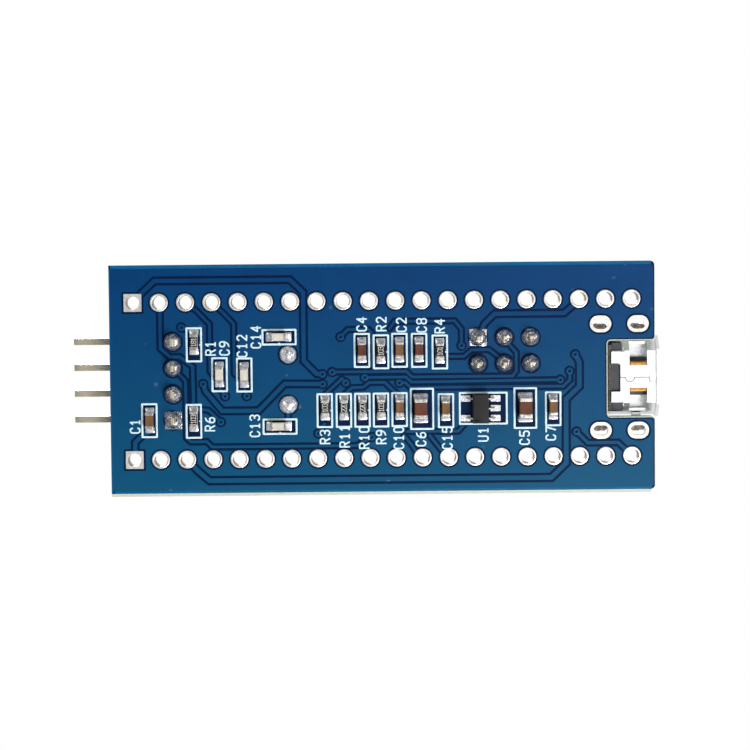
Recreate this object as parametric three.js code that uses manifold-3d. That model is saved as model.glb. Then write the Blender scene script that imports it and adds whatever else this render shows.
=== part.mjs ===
// A microcontroller development board, in millimetres, lying component side up on its solder tails.
// +X points to the USB socket, +Z out of the component side, and the origin is the middle of the footprint
// at the height of the tail tips. Inside the boardFrame group, z 0 is the board's solder face.
import * as THREE from "three";
import { mergeVertices } from "three/addons/utils/BufferGeometryUtils.js";
import Module from "manifold-3d";

const wasm = await Module();
wasm.setup();

// ---- Driving dimensions ----
const pitch = 2.54; // of every header row
const board = { left: -26.42, right: 26.38, width: 22.5, thickness: 1.6, corner: 0.45 };
const rowHoles = { count: 20, across: 6 * pitch, radius: 0.6 }; // the two rows for pin strips
const pin = { side: 0.64, tip: 0.3, tipLength: 0.5, tail: 1.4, hole: 0.51, above: 6 };
const strip = { height: 2.54, cellCut: 0.4 }; // the plastic that holds header pins
const fitGap = 0.02; // a pressed or soldered piece's gap to its neighbour
const debugHeader = { x: -8 * pitch, pins: 4, reach: 9.93 }; // right-angle, reach is hole to pin tip
const bootHeader = { x: 11.8, y: -2.7, columns: 3, rows: 2 };
const usb = {
  width: 7.5, flatWidth: 5.1, height: 2.5, slope: 1.25, wall: 0.28, corner: 0.4, above: 1.55,
  rear: 22.1, mouth: 26.9, lip: { length: 0.3, flare: 0.2 }, back: { x: 21.4, length: 1.6, clear: 0.15 },
};
const notch = { inner: 21.8, y: 0.15, halfWidth: 3.7, corner: 0.3 }; // in the board's USB end
const usbLegs = {
  xs: [21.13, 24.76], y: 4.95, length: 0.9, thickness: 0.3, wingHeight: 0.25, drop: 1.7,
  slotY: 5.17, slot: { length: 1.5, width: 1.0 },
};
const latchWindow = { x: 24.87, y: 2.25, length: 1.7, width: 2.3 };
const rearCut = { middleTo: 22.95, middle: 2.6, sideTo: 23.4, side: 0.9, sideY: 2.95 };
const usbContact = { pitch: 0.65, width: 0.4, thickness: 0.15, from: 20.9, to: 26.0 };
const crystal = {
  x: -9.15, y: -0.05, length: 11.05, width: 4.65, height: 3.5, flange: 0.5, inset: 0.9,
  leadPitch: 4.88, lead: 0.43, hole: 0.4, tail: 1.0,
};
const mcu = { x: 0.6, body: 7, height: 1.4, standoff: 0.1, perSide: 12, leadPitch: 0.5, span: 9 };
const componentFace = board.thickness;
const usbHigh = componentFace + usb.above;
const usbLow = usbHigh - usb.height;
const tipX = debugHeader.x - debugHeader.reach;
const frameShiftX = -(tipX + usb.mouth) / 2; // centres the footprint on the origin

// ---- Materials ----
const finish = (color, roughness, metalness) =>
  new THREE.MeshStandardMaterial({ color, roughness, metalness });
const materials = {
  solderMask: finish(0x0f4f86, 0.35, 0),
  blackMoulding: finish(0x232325, 0.6, 0),
  tin: finish(0xc9c8c4, 0.35, 1),
  steel: finish(0xd8d9da, 0.25, 1),
  pinPlating: finish(0xc8bfae, 0.35, 1),
  contactGold: finish(0xd9a94a, 0.3, 1),
  yellowPlastic: finish(0xe8c31c, 0.45, 0),
  resistor: finish(0x1d1d1f, 0.4, 0),
  brownCeramic: finish(0x8a4a24, 0.5, 0),
  tanCeramic: finish(0xa8763a, 0.5, 0),
  paleCeramic: finish(0xd9d2bd, 0.5, 0),
  redLens: finish(0xe86a5c, 0.2, 0),
  greenLens: finish(0x8fd48a, 0.2, 0),
  whitePlastic: finish(0xe9e6dd, 0.5, 0),
};

// ---- Geometry helpers ----
const axisX = new THREE.Vector3(1, 0, 0);
const axisY = new THREE.Vector3(0, 1, 0);
const axisZ = new THREE.Vector3(0, 0, 1);

function extruded(shape, depth, basis, segments = 6) {
  const settings = { depth, bevelEnabled: false, curveSegments: segments };
  const geometry = new THREE.ExtrudeGeometry(shape, settings);
  geometry.translate(0, 0, -depth / 2);
  return geometry.applyMatrix4(new THREE.Matrix4().makeBasis(...basis));
}
// A shape drawn in YZ, XZ or XY and given a length along the third axis, centred on it.
const alongX = (shape, depth, segments) => extruded(shape, depth, [axisY, axisZ, axisX], segments);
const alongY = (shape, depth, segments) =>
  extruded(shape, depth, [axisX, axisZ, axisY.clone().negate()], segments);
const alongZ = (shape, depth, segments) => extruded(shape, depth, [axisX, axisY, axisZ], segments);

const polygon = (points) => new THREE.Shape(points.map(([a, b]) => new THREE.Vector2(a, b)));

function roundedRectangle(width, height, radius, centreX = 0, centreY = 0) {
  const [w, h] = [width / 2 - radius, height / 2 - radius];
  const outline = new THREE.Shape();
  outline.absarc(centreX + w, centreY + h, radius, 0, Math.PI / 2);
  outline.absarc(centreX - w, centreY + h, radius, Math.PI / 2, Math.PI);
  outline.absarc(centreX - w, centreY - h, radius, Math.PI, 1.5 * Math.PI);
  outline.absarc(centreX + w, centreY - h, radius, 1.5 * Math.PI, 2 * Math.PI);
  return outline;
}

// A cylinder along Z, of even section, that reaches well through a sheet at z 0.
const roundCutter = (x, y, radius, sides) =>
  new THREE.CylinderGeometry(radius, radius, 4, sides).rotateX(Math.PI / 2).translate(x, y, 0);

// ---- Joins and cuts ----
function toSolid(geometry) {
  const bare = geometry.index ? geometry.toNonIndexed() : geometry.clone();
  bare.deleteAttribute("normal");
  bare.deleteAttribute("uv");
  const merged = mergeVertices(bare, 1e-4);
  const vertProperties = merged.attributes.position.array;
  return new wasm.Manifold(
    new wasm.Mesh({ numProp: 3, vertProperties, triVerts: new Uint32Array(merged.index.array) }),
  );
}

function toGeometry(solid) {
  const mesh = solid.getMesh();
  const geometry = new THREE.BufferGeometry();
  geometry.setAttribute("position", new THREE.BufferAttribute(mesh.vertProperties, 3));
  geometry.setIndex(new THREE.BufferAttribute(mesh.triVerts, 1));
  geometry.computeVertexNormals();
  return geometry;
}

const joined = (geometries) => toGeometry(geometries.map(toSolid).reduce((a, b) => a.add(b)));
const cutBy = (geometry, cutters) =>
  toGeometry(cutters.map(toSolid).reduce((left, cutter) => left.subtract(cutter), toSolid(geometry)));
const common = (a, b) => toGeometry(toSolid(a).intersect(toSolid(b)));
const boxAt = (sizeX, sizeY, sizeZ, x = 0, y = 0, z = 0) =>
  new THREE.BoxGeometry(sizeX, sizeY, sizeZ).translate(x, y, z);

function named(name, geometry, material, x = 0, y = 0, z = 0) {
  const mesh = new THREE.Mesh(geometry, material);
  mesh.name = name;
  mesh.position.set(x, y, z);
  return mesh;
}

// Evenly spaced places, centred on zero.
const places = (count, step) => Array.from({ length: count }, (_, i) => (i - (count - 1) / 2) * step);

// ---- The bare board ----
const bootPlaces = places(bootHeader.columns, pitch).flatMap((x) =>
  places(bootHeader.rows, pitch).map((y) => [bootHeader.x + x, bootHeader.y + y]),
);
const debugPlaces = places(debugHeader.pins, pitch).map((y) => [debugHeader.x, y]);
const crystalPlaces = [-1, 1].map((s) => [crystal.x, crystal.y + (s * crystal.leadPitch) / 2]);

function boardOutline() {
  const { left, right, corner } = board;
  const halfWidth = board.width / 2;
  const notchX = notch.inner + notch.corner;
  const [notchLow, notchHigh] = [notch.y - notch.halfWidth, notch.y + notch.halfWidth];
  const outline = new THREE.Shape();
  outline.moveTo(left, halfWidth);
  outline.lineTo(left, -halfWidth);
  outline.absarc(right - corner, corner - halfWidth, corner, -Math.PI / 2, 0);
  outline.absarc(right - notch.corner, notchLow - notch.corner, notch.corner, 0, Math.PI / 2);
  outline.absarc(notchX, notchLow + notch.corner, notch.corner, 1.5 * Math.PI, Math.PI, true);
  outline.absarc(notchX, notchHigh - notch.corner, notch.corner, Math.PI, Math.PI / 2, true);
  outline.absarc(right - notch.corner, notchHigh + notch.corner, notch.corner, 1.5 * Math.PI, 2 * Math.PI);
  outline.absarc(right - corner, halfWidth - corner, corner, 0, Math.PI / 2);
  return outline;
}

function circuitBoard() {
  const holes = [];
  for (const y of [-rowHoles.across / 2, rowHoles.across / 2])
    for (const x of places(rowHoles.count, pitch)) holes.push(roundCutter(x, y, rowHoles.radius, 16));
  for (const [x, y] of [...bootPlaces, ...debugPlaces]) holes.push(roundCutter(x, y, pin.hole, 12));
  for (const [x, y] of crystalPlaces) holes.push(roundCutter(x, y, crystal.hole, 12));
  for (const x of usbLegs.xs)
    for (const y of [-usbLegs.slotY, usbLegs.slotY]) {
      const { length, width } = usbLegs.slot;
      holes.push(alongZ(roundedRectangle(length, width, width / 2 - 0.01, x, y), 4, 4));
    }
  const geometry = cutBy(alongZ(boardOutline(), board.thickness, 6), holes);
  return named("circuit_board", geometry, materials.solderMask, 0, 0, board.thickness / 2);
}

// ---- Chip parts ----
// A two-ended chip part: its metal ends stand a little proud of the body. The long way is Y.
function chip(name, size, material, x, y, side = "solder", along = "y") {
  const [l, h, end, proud] = [size.length / 2, size.height, size.end, 0.02];
  const profile = polygon([
    [-l, 0], [-l + end, 0], [-l + end, proud], [l - end, proud], [l - end, 0], [l, 0],
    [l, h], [l - end, h], [l - end, h - proud], [-l + end, h - proud], [-l + end, h], [-l, h],
  ]);
  const mesh = named(name, alongX(profile, size.width), material, x, y, componentFace + fitGap);
  if (side === "solder") {
    mesh.rotation.set(Math.PI, 0, 0);
    mesh.position.z = -fitGap;
  }
  if (along === "x") mesh.rotation.z = Math.PI / 2;
  return mesh;
}

const small = { length: 1.6, width: 0.8, height: 0.8, end: 0.32 };
const flat = { ...small, height: 0.46 };
const large = { length: 2.0, width: 1.25, height: 1.2, end: 0.42 };
const nearRow = -2.87; // y of the parts on the debug header's side of the boot header
const farRow = 2.7;

function resistors() {
  const onSolderSide = [
    ["resistor_r1", -18.24, -3.78], ["resistor_r6", -18.35, 3.68],
    ["resistor_r2", -0.16, nearRow + 0.12], ["resistor_r4", 5.55, nearRow + 0.16],
    ["resistor_r3", -5.62, farRow], ["resistor_r11", -3.79, farRow],
    ["resistor_r10", -1.98, farRow], ["resistor_r9", -0.17, farRow],
  ];
  const onComponentSide = [
    ["resistor_r5", 5.5, -5.1], ["resistor_r7", -17.9, 5.3], ["resistor_r8", -17.9, -5.3],
  ];
  return [
    ...onSolderSide.map(([name, x, y]) => chip(name, flat, materials.resistor, x, y)),
    ...onComponentSide.map(([name, x, y]) => chip(name, flat, materials.resistor, x, y, "component", "x")),
  ];
}

function capacitors() {
  const { brownCeramic: brown, tanCeramic: tan, paleCeramic: pale } = materials;
  const onSolderSide = [
    ["capacitor_c1", small, tan, -22.62, 3.78], ["capacitor_c9", small, pale, -15.81, -0.62],
    ["capacitor_c12", small, pale, -13.41, -0.55], ["capacitor_c4", small, brown, -2.0, nearRow],
    ["capacitor_c2", small, tan, 1.64, nearRow], ["capacitor_c8", small, brown, 3.54, nearRow],
    ["capacitor_c10", small, tan, 1.62, farRow], ["capacitor_c15", small, tan, 6.07, farRow + 0.14],
    ["capacitor_c7", small, tan, 16.5, farRow + 0.1], ["capacitor_c6", large, brown, 3.66, farRow + 0.14],
    ["capacitor_c5", large, brown, 13.8, farRow + 0.14],
  ];
  return [
    ...onSolderSide.map(([name, size, material, x, y]) => chip(name, size, material, x, y)),
    chip("capacitor_c14", small, pale, -10.05, -4.2, "solder", "x"),
    chip("capacitor_c13", small, pale, -10.1, 4.45, "solder", "x"),
    chip("capacitor_c3", small, tan, -4.5, 5.2, "component", "x"),
    chip("capacitor_c11", small, tan, 5.7, 5.2, "component", "x"),
  ];
}

// A surface LED: a thin base with a clear block on it.
function led(name, material, x, y) {
  const base = boxAt(0.8, 1.6, 0.25, 0, 0, 0.125);
  const lens = boxAt(0.78, 1.1, 0.4, 0, 0, 0.45);
  return named(name, joined([base, lens]), material, x, y, componentFace + fitGap);
}

// ---- Moulded packages with gull-wing leads ----
// One lead in the XZ plane, running out along +X from inside the body and down to z 0.
function gullLead({ from, shoulder, foot, tip, height, thickness, width }) {
  const t = thickness / 2;
  const profile = polygon([
    [from, height - t], [shoulder - t, height - t], [foot - t, 0], [tip, 0], [tip, thickness],
    [foot + t, thickness], [shoulder + t, height + t], [from, height + t],
  ]);
  return alongY(profile, width);
}

// A moulded body whose sides slope in by draft above and below its middle, where the leads leave.
function mouldedBody(sizeX, sizeY, low, high, draft) {
  const middle = (low + high) / 2;
  const profile = (half) =>
    polygon([
      [-half + draft, low], [half - draft, low], [half, middle],
      [half - draft, high], [-half + draft, high], [-half, middle],
    ]);
  return common(alongX(profile(sizeY / 2), 2 * sizeX), alongY(profile(sizeX / 2), 2 * sizeY));
}

function microcontroller() {
  const half = mcu.body / 2;
  const high = mcu.standoff + mcu.height;
  const lead = gullLead({
    from: half - 0.2, shoulder: half + 0.3, foot: half + 0.48, tip: mcu.span / 2,
    height: (mcu.standoff + high) / 2, thickness: 0.14, width: 0.22,
  });
  const pieces = [mouldedBody(mcu.body, mcu.body, mcu.standoff, high, 0.12)];
  for (let side = 0; side < 4; side++)
    for (const along of places(mcu.perSide, mcu.leadPitch))
      pieces.push(lead.clone().translate(0, along, 0).rotateZ((side * Math.PI) / 2));
  const z = componentFace + fitGap;
  const mesh = named("microcontroller", joined(pieces), materials.blackMoulding, mcu.x, 0, z);
  mesh.rotation.z = Math.PI / 4;
  return mesh;
}

// The five-lead voltage regulator, under the board.
function regulator() {
  const lead = gullLead({
    from: 0.5, shoulder: 0.98, foot: 1.12, tip: 1.4, height: 0.62, thickness: 0.14, width: 0.4,
  });
  const pieces = [mouldedBody(1.6, 2.9, 0.08, 1.18, 0.09)];
  for (const y of [-0.95, 0, 0.95]) pieces.push(lead.clone().translate(0, y, 0));
  for (const y of [-0.95, 0.95]) pieces.push(lead.clone().rotateZ(Math.PI).translate(0, y, 0));
  const mesh = named("voltage_regulator", joined(pieces), materials.blackMoulding, 9.45, 2.9, -fitGap);
  mesh.rotation.x = Math.PI;
  return mesh;
}

// ---- Crystals ----
function mainCrystal() {
  const { x, y, length, width, height, flange, inset, leadPitch, lead, tail } = crystal;
  const plate = alongZ(roundedRectangle(width, length, width / 2 - 0.01), flange, 8);
  const leadLength = board.thickness + tail;
  const leads = [-1, 1].map((side) =>
    new THREE.CylinderGeometry(lead / 2, lead / 2, leadLength, 8)
      .rotateX(Math.PI / 2)
      .translate(0, (side * leadPitch) / 2, fitGap - leadLength / 2),
  );
  const base = joined([plate.translate(0, 0, flange / 2), ...leads]);
  const [canWidth, canHeight] = [width - inset, height - flange - fitGap];
  const can = alongZ(roundedRectangle(canWidth, length - inset, canWidth / 2 - 0.01), canHeight, 8);
  const z = componentFace + fitGap;
  return [
    named("crystal_base", base, materials.tin, x, y, z),
    named("crystal_can", can, materials.steel, x, y, z + flange + fitGap + canHeight / 2),
  ];
}

// The slow clock crystal, a black moulded block with four folded leads.
function clockCrystal() {
  const lead = gullLead({
    from: 1.4, shoulder: 1.72, foot: 1.76, tip: 2.0, height: 0.9, thickness: 0.16, width: 0.5,
  });
  const pieces = [mouldedBody(3.2, 8, 0.15, 2.3, 0.1)];
  for (const turn of [0, Math.PI])
    for (const y of [-2.75, 2.75]) pieces.push(lead.clone().rotateZ(turn).translate(0, y, 0));
  return named("clock_crystal", joined(pieces), materials.blackMoulding, -14.35, 0, componentFace + fitGap);
}

// ---- Pin headers ----
// The plastic strip's outline: one cell per pin, with its corners cut.
function cellOutline(columns, rows) {
  const [cut, w, h] = [strip.cellCut, (columns * pitch) / 2, (rows * pitch) / 2];
  const side = (cells, half, cross) =>
    Array.from({ length: cells }, (_, i) => i * pitch - half).flatMap((start) => [
      [start, -cross + cut], [start + cut, -cross], [start + pitch - cut, -cross],
    ]);
  const low = side(columns, w, h);
  const right = side(rows, h, w).map(([a, b]) => [-b, a]);
  return polygon([...low, ...right, ...low.map(([a, b]) => [-a, -b]), ...right.map(([a, b]) => [-a, -b])]);
}

// A straight pin with tapered ends, square in section, standing along Z from low to high.
function straightPin(low, high) {
  const [r, tip] = [pin.side, pin.tip].map((side) => side / Math.SQRT2);
  const profile = [
    [0, low], [tip, low], [r, low + pin.tipLength], [r, high - pin.tipLength], [tip, high], [0, high],
  ].map(([a, b]) => new THREE.Vector2(a, b));
  return new THREE.LatheGeometry(profile, 4).rotateX(Math.PI / 2).rotateZ(Math.PI / 4);
}

function bootPins() {
  const holeSide = pin.side + 2 * fitGap;
  const { x: middleX, y: middleY, columns, rows } = bootHeader;
  const holes = bootPlaces.map(([x, y]) => boxAt(holeSide, holeSide, 4, x - middleX, y - middleY));
  const base = cutBy(alongZ(cellOutline(columns, rows), strip.height), holes);
  const z = componentFace + fitGap + strip.height / 2;
  const high = componentFace + strip.height + pin.above;
  return [
    named("boot_header_strip", base, materials.blackMoulding, middleX, middleY, z),
    ...bootPlaces.map(([x, y], i) =>
      named(`boot_pin_${i + 1}`, straightPin(-pin.tail, high), materials.pinPlating, x, y),
    ),
  ];
}

function debugPins() {
  const holeSide = pin.side + 2 * fitGap;
  const holes = places(debugHeader.pins, pitch).map((y) => boxAt(4, holeSide, holeSide, 0, y));
  const base = cutBy(alongX(cellOutline(debugHeader.pins, 1), strip.height), holes);
  const pinHeight = componentFace + fitGap + pitch / 2;
  const stripX = debugHeader.x - 3.0;
  const [s, bend, tip] = [pin.side / 2, 0.35, pin.tip / 2];
  // The bent pin's side view, around its own solder hole.
  const profile = new THREE.Shape();
  profile.moveTo(-tip, -pin.tail);
  profile.lineTo(tip, -pin.tail);
  profile.lineTo(s, -pin.tail + pin.tipLength);
  profile.lineTo(s, pinHeight + s - bend - pin.side);
  profile.absarc(s - bend - pin.side, pinHeight + s - bend - pin.side, bend + pin.side, 0, Math.PI / 2);
  profile.lineTo(-debugHeader.reach + pin.tipLength, pinHeight + s);
  profile.lineTo(-debugHeader.reach, pinHeight + tip);
  profile.lineTo(-debugHeader.reach, pinHeight - tip);
  profile.lineTo(-debugHeader.reach + pin.tipLength, pinHeight - s);
  profile.absarc(s - bend - pin.side, pinHeight + s - bend - pin.side, bend, Math.PI / 2, 0, true);
  profile.lineTo(-s, -pin.tail + pin.tipLength);
  const bentPin = alongY(profile, pin.side, 3);
  return [
    named("debug_header_strip", base, materials.blackMoulding, stripX, 0, pinHeight),
    ...debugPlaces.map(([x, y], i) => named(`debug_pin_${i + 1}`, bentPin, materials.pinPlating, x, y)),
  ];
}

// ---- Jumper caps ----
// Each cap bridges the two boot pins nearest the USB socket, with a spring clip inside it.
function jumperCap(label, y) {
  const size = { x: 4.9, y: 2.38, z: 6.8 };
  const cavity = { x: 4.1, y: 1.6, z: 6.15 };
  const clip = { length: 3.9, halfWidth: 0.75, halfGap: 0.45, height: 4.6, top: 0.2 };
  const x = bootHeader.x + pitch / 2;
  const z = componentFace + strip.height + 2 * fitGap;
  const body = alongZ(roundedRectangle(size.x, size.y, 0.25), size.z, 2).translate(0, 0, size.z / 2);
  const shell = cutBy(body, [boxAt(cavity.x, cavity.y, 2 * cavity.z)]);
  const { halfWidth: w, halfGap: g, height: h } = clip;
  const clipProfile = polygon([
    [-w, 0], [-g, 0], [-g, h - clip.top], [g, h - clip.top], [g, 0], [w, 0], [w, h], [-w, h],
  ]);
  const clipZ = z + cavity.z - h - fitGap;
  return [
    named(`jumper_cap_${label}`, shell, materials.yellowPlastic, x, y, z),
    named(`jumper_clip_${label}`, alongX(clipProfile, clip.length), materials.contactGold, x, y, clipZ),
  ];
}

// ---- Reset button ----
function resetButton() {
  const [x, y, z] = [11.8, 3.1, componentFace + fitGap];
  const size = { x: 6, y: 3.6, z: 2.3 };
  const plunger = { x: 2.9, y: 1.5, z: 1.9, corner: 0.55, above: 1.1 };
  const well = { depth: 1.4, clear: 0.08 };
  const body = alongZ(roundedRectangle(size.x, size.y, 0.3), size.z, 2).translate(0, 0, size.z / 2);
  const [wellX, wellY] = [plunger.x + 2 * well.clear, plunger.y + 2 * well.clear];
  const wellOutline = roundedRectangle(wellX, wellY, plunger.corner);
  const wellCutter = alongZ(wellOutline, 2 * well.depth, 4).translate(0, 0, size.z);
  const foot = gullLead({
    from: size.x / 2 - 0.3, shoulder: size.x / 2 + 0.22, foot: size.x / 2 + 0.3, tip: size.x / 2 + 1.0,
    height: 0.55, thickness: 0.15, width: 1.1,
  });
  const housing = joined([cutBy(body, [wellCutter]), foot, foot.clone().rotateZ(Math.PI)]);
  const button = alongZ(roundedRectangle(plunger.x, plunger.y, plunger.corner), plunger.z, 4);
  const buttonZ = z + size.z + plunger.above - plunger.z / 2;
  return [
    named("reset_button_housing", housing, materials.blackMoulding, x, y, z),
    named("reset_button_plunger", button, materials.whitePlastic, x, y, buttonZ),
  ];
}

// ---- USB socket ----
// The socket's cross-section in YZ, seen along X: wide at the top, with its lower corners cut.
function usbOutline(grow) {
  const [w, f] = [usb.width / 2 + grow, usb.flatWidth / 2 + grow * 0.6];
  const [low, high] = [usbLow - grow, usbHigh + grow];
  const slope = usbLow + usb.slope - grow * 0.4;
  const outline = new THREE.Shape();
  outline.moveTo(-f, low);
  outline.lineTo(f, low);
  outline.lineTo(w, slope);
  outline.absarc(w - usb.corner, high - usb.corner, usb.corner, 0, Math.PI / 2);
  outline.absarc(-w + usb.corner, high - usb.corner, usb.corner, Math.PI / 2, Math.PI);
  outline.lineTo(-w, slope);
  return outline;
}

function usbShell() {
  const { wall, width, rear, mouth, lip, back } = usb;
  const tubeLength = mouth - rear - lip.length;
  const outer = [
    alongX(usbOutline(0), tubeLength, 3).translate(rear + tubeLength / 2, 0, 0),
    alongX(usbOutline(lip.flare), lip.length, 3).translate(mouth - lip.length / 2, 0, 0),
    boxAt(back.length, width, wall, back.x, 0, usbHigh - wall / 2),
  ];
  const cheekHeight = usb.above - back.clear;
  const wingReach = usbLegs.y + usbLegs.thickness / 2 - width / 2 + wall;
  for (const side of [-1, 1]) {
    // The cheeks join the back plate to the rear wings. Wings rest on the board and end in its slots.
    const cheekY = (side * (width - wall)) / 2;
    outer.push(boxAt(back.length, wall, cheekHeight, back.x, cheekY, usbHigh - cheekHeight / 2));
    for (const x of usbLegs.xs) {
      const { length, thickness, drop } = usbLegs;
      const wingY = side * (width / 2 - wall + wingReach / 2);
      const legTop = componentFace + usbLegs.wingHeight;
      outer.push(boxAt(length, wingReach, thickness, x, wingY, legTop));
      outer.push(boxAt(length, thickness, drop, x, side * usbLegs.y, legTop - drop / 2));
    }
  }
  const boreHeight = usb.above - wall - fitGap;
  const cuts = [
    alongX(usbOutline(-wall), 20, 3).translate(mouth, 0, 0),
    boxAt(3, width - 2 * wall, boreHeight, rear, 0, usbHigh - wall - boreHeight / 2),
    boxAt(1, rearCut.middle, 1, rearCut.middleTo - 0.5, 0, usbLow),
  ];
  for (const side of [-1, 1]) {
    const { x, y } = latchWindow;
    cuts.push(boxAt(latchWindow.length, latchWindow.width, 2, x, side * y, usbLow));
    cuts.push(boxAt(2, rearCut.side, 2, rearCut.sideTo - 1, side * rearCut.sideY, usbLow));
  }
  return named("usb_shell", cutBy(joined(outer), cuts), materials.steel);
}

// The contacts lie flat under the tongue and run back onto the board; the insulator holds them.
function usbInside() {
  const { width, thickness, from, to } = usbContact;
  const low = componentFace + fitGap;
  const tongueLow = low + thickness + fitGap;
  const ys = places(5, usbContact.pitch);
  const block = { from: usb.rear + 0.2, length: 1 };
  const blockOutline = usbOutline(-usb.wall - fitGap);
  const base = alongX(blockOutline, block.length, 3).translate(block.from + block.length / 2, 0, 0);
  const tongue = { from: block.from + block.length - 0.1, to: usb.mouth - 0.7, width: 3.7, height: 0.5 };
  const tongueX = (tongue.from + tongue.to) / 2;
  const tongueZ = tongueLow + tongue.height / 2;
  const blade = boxAt(tongue.to - tongue.from, tongue.width, tongue.height, tongueX, 0, tongueZ);
  const channels = ys.map((y) =>
    boxAt(8, width + 2 * fitGap, thickness + 2 * fitGap, usb.rear + 1, y, low + thickness / 2),
  );
  const strip = boxAt(to - from, width, thickness, (from + to) / 2, 0, low + thickness / 2);
  return [
    named("usb_insulator", cutBy(joined([base, blade]), channels), materials.blackMoulding),
    ...ys.map((y, i) => named(`usb_contact_${i + 1}`, strip, materials.contactGold, 0, y)),
  ];
}

// ---- The whole board ----
const boardFrame = new THREE.Group();
boardFrame.position.set(frameShiftX, 0, pin.tail);
boardFrame.add(
  circuitBoard(),
  ...resistors(),
  ...capacitors(),
  led("power_led", materials.redLens, -17.9, 3.3),
  led("status_led", materials.greenLens, -17.9, -3.3),
  microcontroller(),
  regulator(),
  ...mainCrystal(),
  clockCrystal(),
  ...bootPins(),
  ...debugPins(),
  ...jumperCap("boot0", bootHeader.y - pitch / 2),
  ...jumperCap("boot1", bootHeader.y + pitch / 2),
  ...resetButton(),
  usbShell(),
  ...usbInside(),
);
const devBoard = new THREE.Group();
devBoard.add(boardFrame);
export default devBoard;
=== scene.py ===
# A microcontroller development board, looked at from its solder side.
# Shapes are drawn in millimetres in the board's own frame, where z 0 is the solder face and the component
# face is at the laminate's thickness, and settle() moves each finished mesh into the shared frame.
import math

import bmesh
import bpy
from mathutils import Matrix, Vector, noise


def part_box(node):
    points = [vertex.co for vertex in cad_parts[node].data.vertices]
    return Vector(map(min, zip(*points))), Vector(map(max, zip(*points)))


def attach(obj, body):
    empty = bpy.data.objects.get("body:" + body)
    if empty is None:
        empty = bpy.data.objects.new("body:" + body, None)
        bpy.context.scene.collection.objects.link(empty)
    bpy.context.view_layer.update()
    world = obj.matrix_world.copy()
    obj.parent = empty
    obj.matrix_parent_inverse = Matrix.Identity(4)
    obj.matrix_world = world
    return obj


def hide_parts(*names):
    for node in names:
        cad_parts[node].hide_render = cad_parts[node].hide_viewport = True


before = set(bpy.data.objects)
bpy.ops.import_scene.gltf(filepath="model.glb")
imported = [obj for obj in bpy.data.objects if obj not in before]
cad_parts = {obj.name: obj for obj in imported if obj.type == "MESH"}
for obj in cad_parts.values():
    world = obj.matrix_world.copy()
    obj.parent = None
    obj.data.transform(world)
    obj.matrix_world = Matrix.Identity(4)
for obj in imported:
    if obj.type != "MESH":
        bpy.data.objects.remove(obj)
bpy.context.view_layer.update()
print("frame loaded")

mm = 0.001
micrometre = 1e-6
boardLow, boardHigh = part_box("circuit_board")
board = {
    "left": -26.42, "right": (boardHigh.x - boardLow.x) / mm - 26.42, "halfWidth": boardHigh.y / mm,
    "thickness": (boardHigh.z - boardLow.z) / mm, "corner": 0.45,
    "notchInner": 21.8, "notchY": 0.15, "notchHalf": 3.7, "notchCorner": 0.3,
}
pitch = 2.54
boardToFrame = Matrix.Translation((boardLow.x - board["left"] * mm, 0, boardLow.z)) @ Matrix.Scale(mm, 4)
frameToBoard = boardToFrame.inverted()
top = board["thickness"]


# Meshes
# The lowest and highest corners of a node, in the board's millimetres.
def span(node):
    low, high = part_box(node)
    return frameToBoard @ low, frameToBoard @ high


def linked(name, data):
    thing = bpy.data.objects.new(name, data)
    bpy.context.scene.collection.objects.link(thing)
    return thing


def newShape():
    return {"points": [], "faces": [], "slots": []}


def addFaces(shape, points, faces, slot=0):
    start = len(shape["points"])
    shape["points"] += [tuple(p) for p in points]
    shape["faces"] += [[start + i for i in face] for face in faces]
    shape["slots"] += [slot] * len(faces)


def addPrism(shape, outline, low, high, slot=0):
    count = len(outline)
    points = [(x, y, low) for x, y in outline] + [(x, y, high) for x, y in outline]
    faces = [list(range(count))[::-1], list(range(count, 2 * count))]
    faces += [[i, (i + 1) % count, count + (i + 1) % count, count + i] for i in range(count)]
    addFaces(shape, points, faces, slot)


def addBlock(shape, low, high, slot=0, place=lambda p: p):
    corners = [(x, y, z) for z in (low[2], high[2]) for y in (low[1], high[1]) for x in (low[0], high[0])]
    faces = [[0, 2, 3, 1], [4, 5, 7, 6], [0, 1, 5, 4], [2, 6, 7, 3], [0, 4, 6, 2], [1, 3, 7, 5]]
    addFaces(shape, [place(p) for p in corners], faces, slot)


def arc(x, y, radius, start, end, steps):
    angles = [math.radians(start + (end - start) * i / steps) for i in range(steps + 1)]
    return [(x + radius * math.cos(a), y + radius * math.sin(a)) for a in angles]


def circle(x, y, radius, sides=32):
    return arc(x, y, radius, 0, 360, sides)[:-1]


def rectangle(x, y, width, height, corner=0.0, steps=4):
    w, h = width / 2 - corner, height / 2 - corner
    if corner == 0:
        return [(x - w, y - h), (x + w, y - h), (x + w, y + h), (x - w, y + h)]
    outline = []
    for turn, (sx, sy) in enumerate(((1, 1), (-1, 1), (-1, -1), (1, -1))):
        outline += arc(x + sx * w, y + sy * h, corner, 90 * turn, 90 * turn + 90, steps)
    return outline


# The outline of a track of even width with mitred bends and round ends.
def ribbon(points, width, endSteps=6):
    line = [Vector(p) for p in points]
    half = width / 2
    headings = [(b - a).normalized() for a, b in zip(line, line[1:])]
    left, right = [], []
    for i, point in enumerate(line):
        before, after = headings[max(i - 1, 0)], headings[min(i, len(headings) - 1)]
        middle = (before + after).normalized()
        normal = Vector((-middle.y, middle.x)) * (half / max(middle.dot(after), 0.5))
        left.append(tuple(point + normal))
        right.append(tuple(point - normal))
    first, last = (math.degrees(math.atan2(h.y, h.x)) for h in (headings[0], headings[-1]))
    outline = right + arc(*line[-1], half, last - 90, last + 90, endSteps)[1:-1]
    return outline + left[::-1] + arc(*line[0], half, first + 90, first + 270, endSteps)[1:-1]


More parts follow.
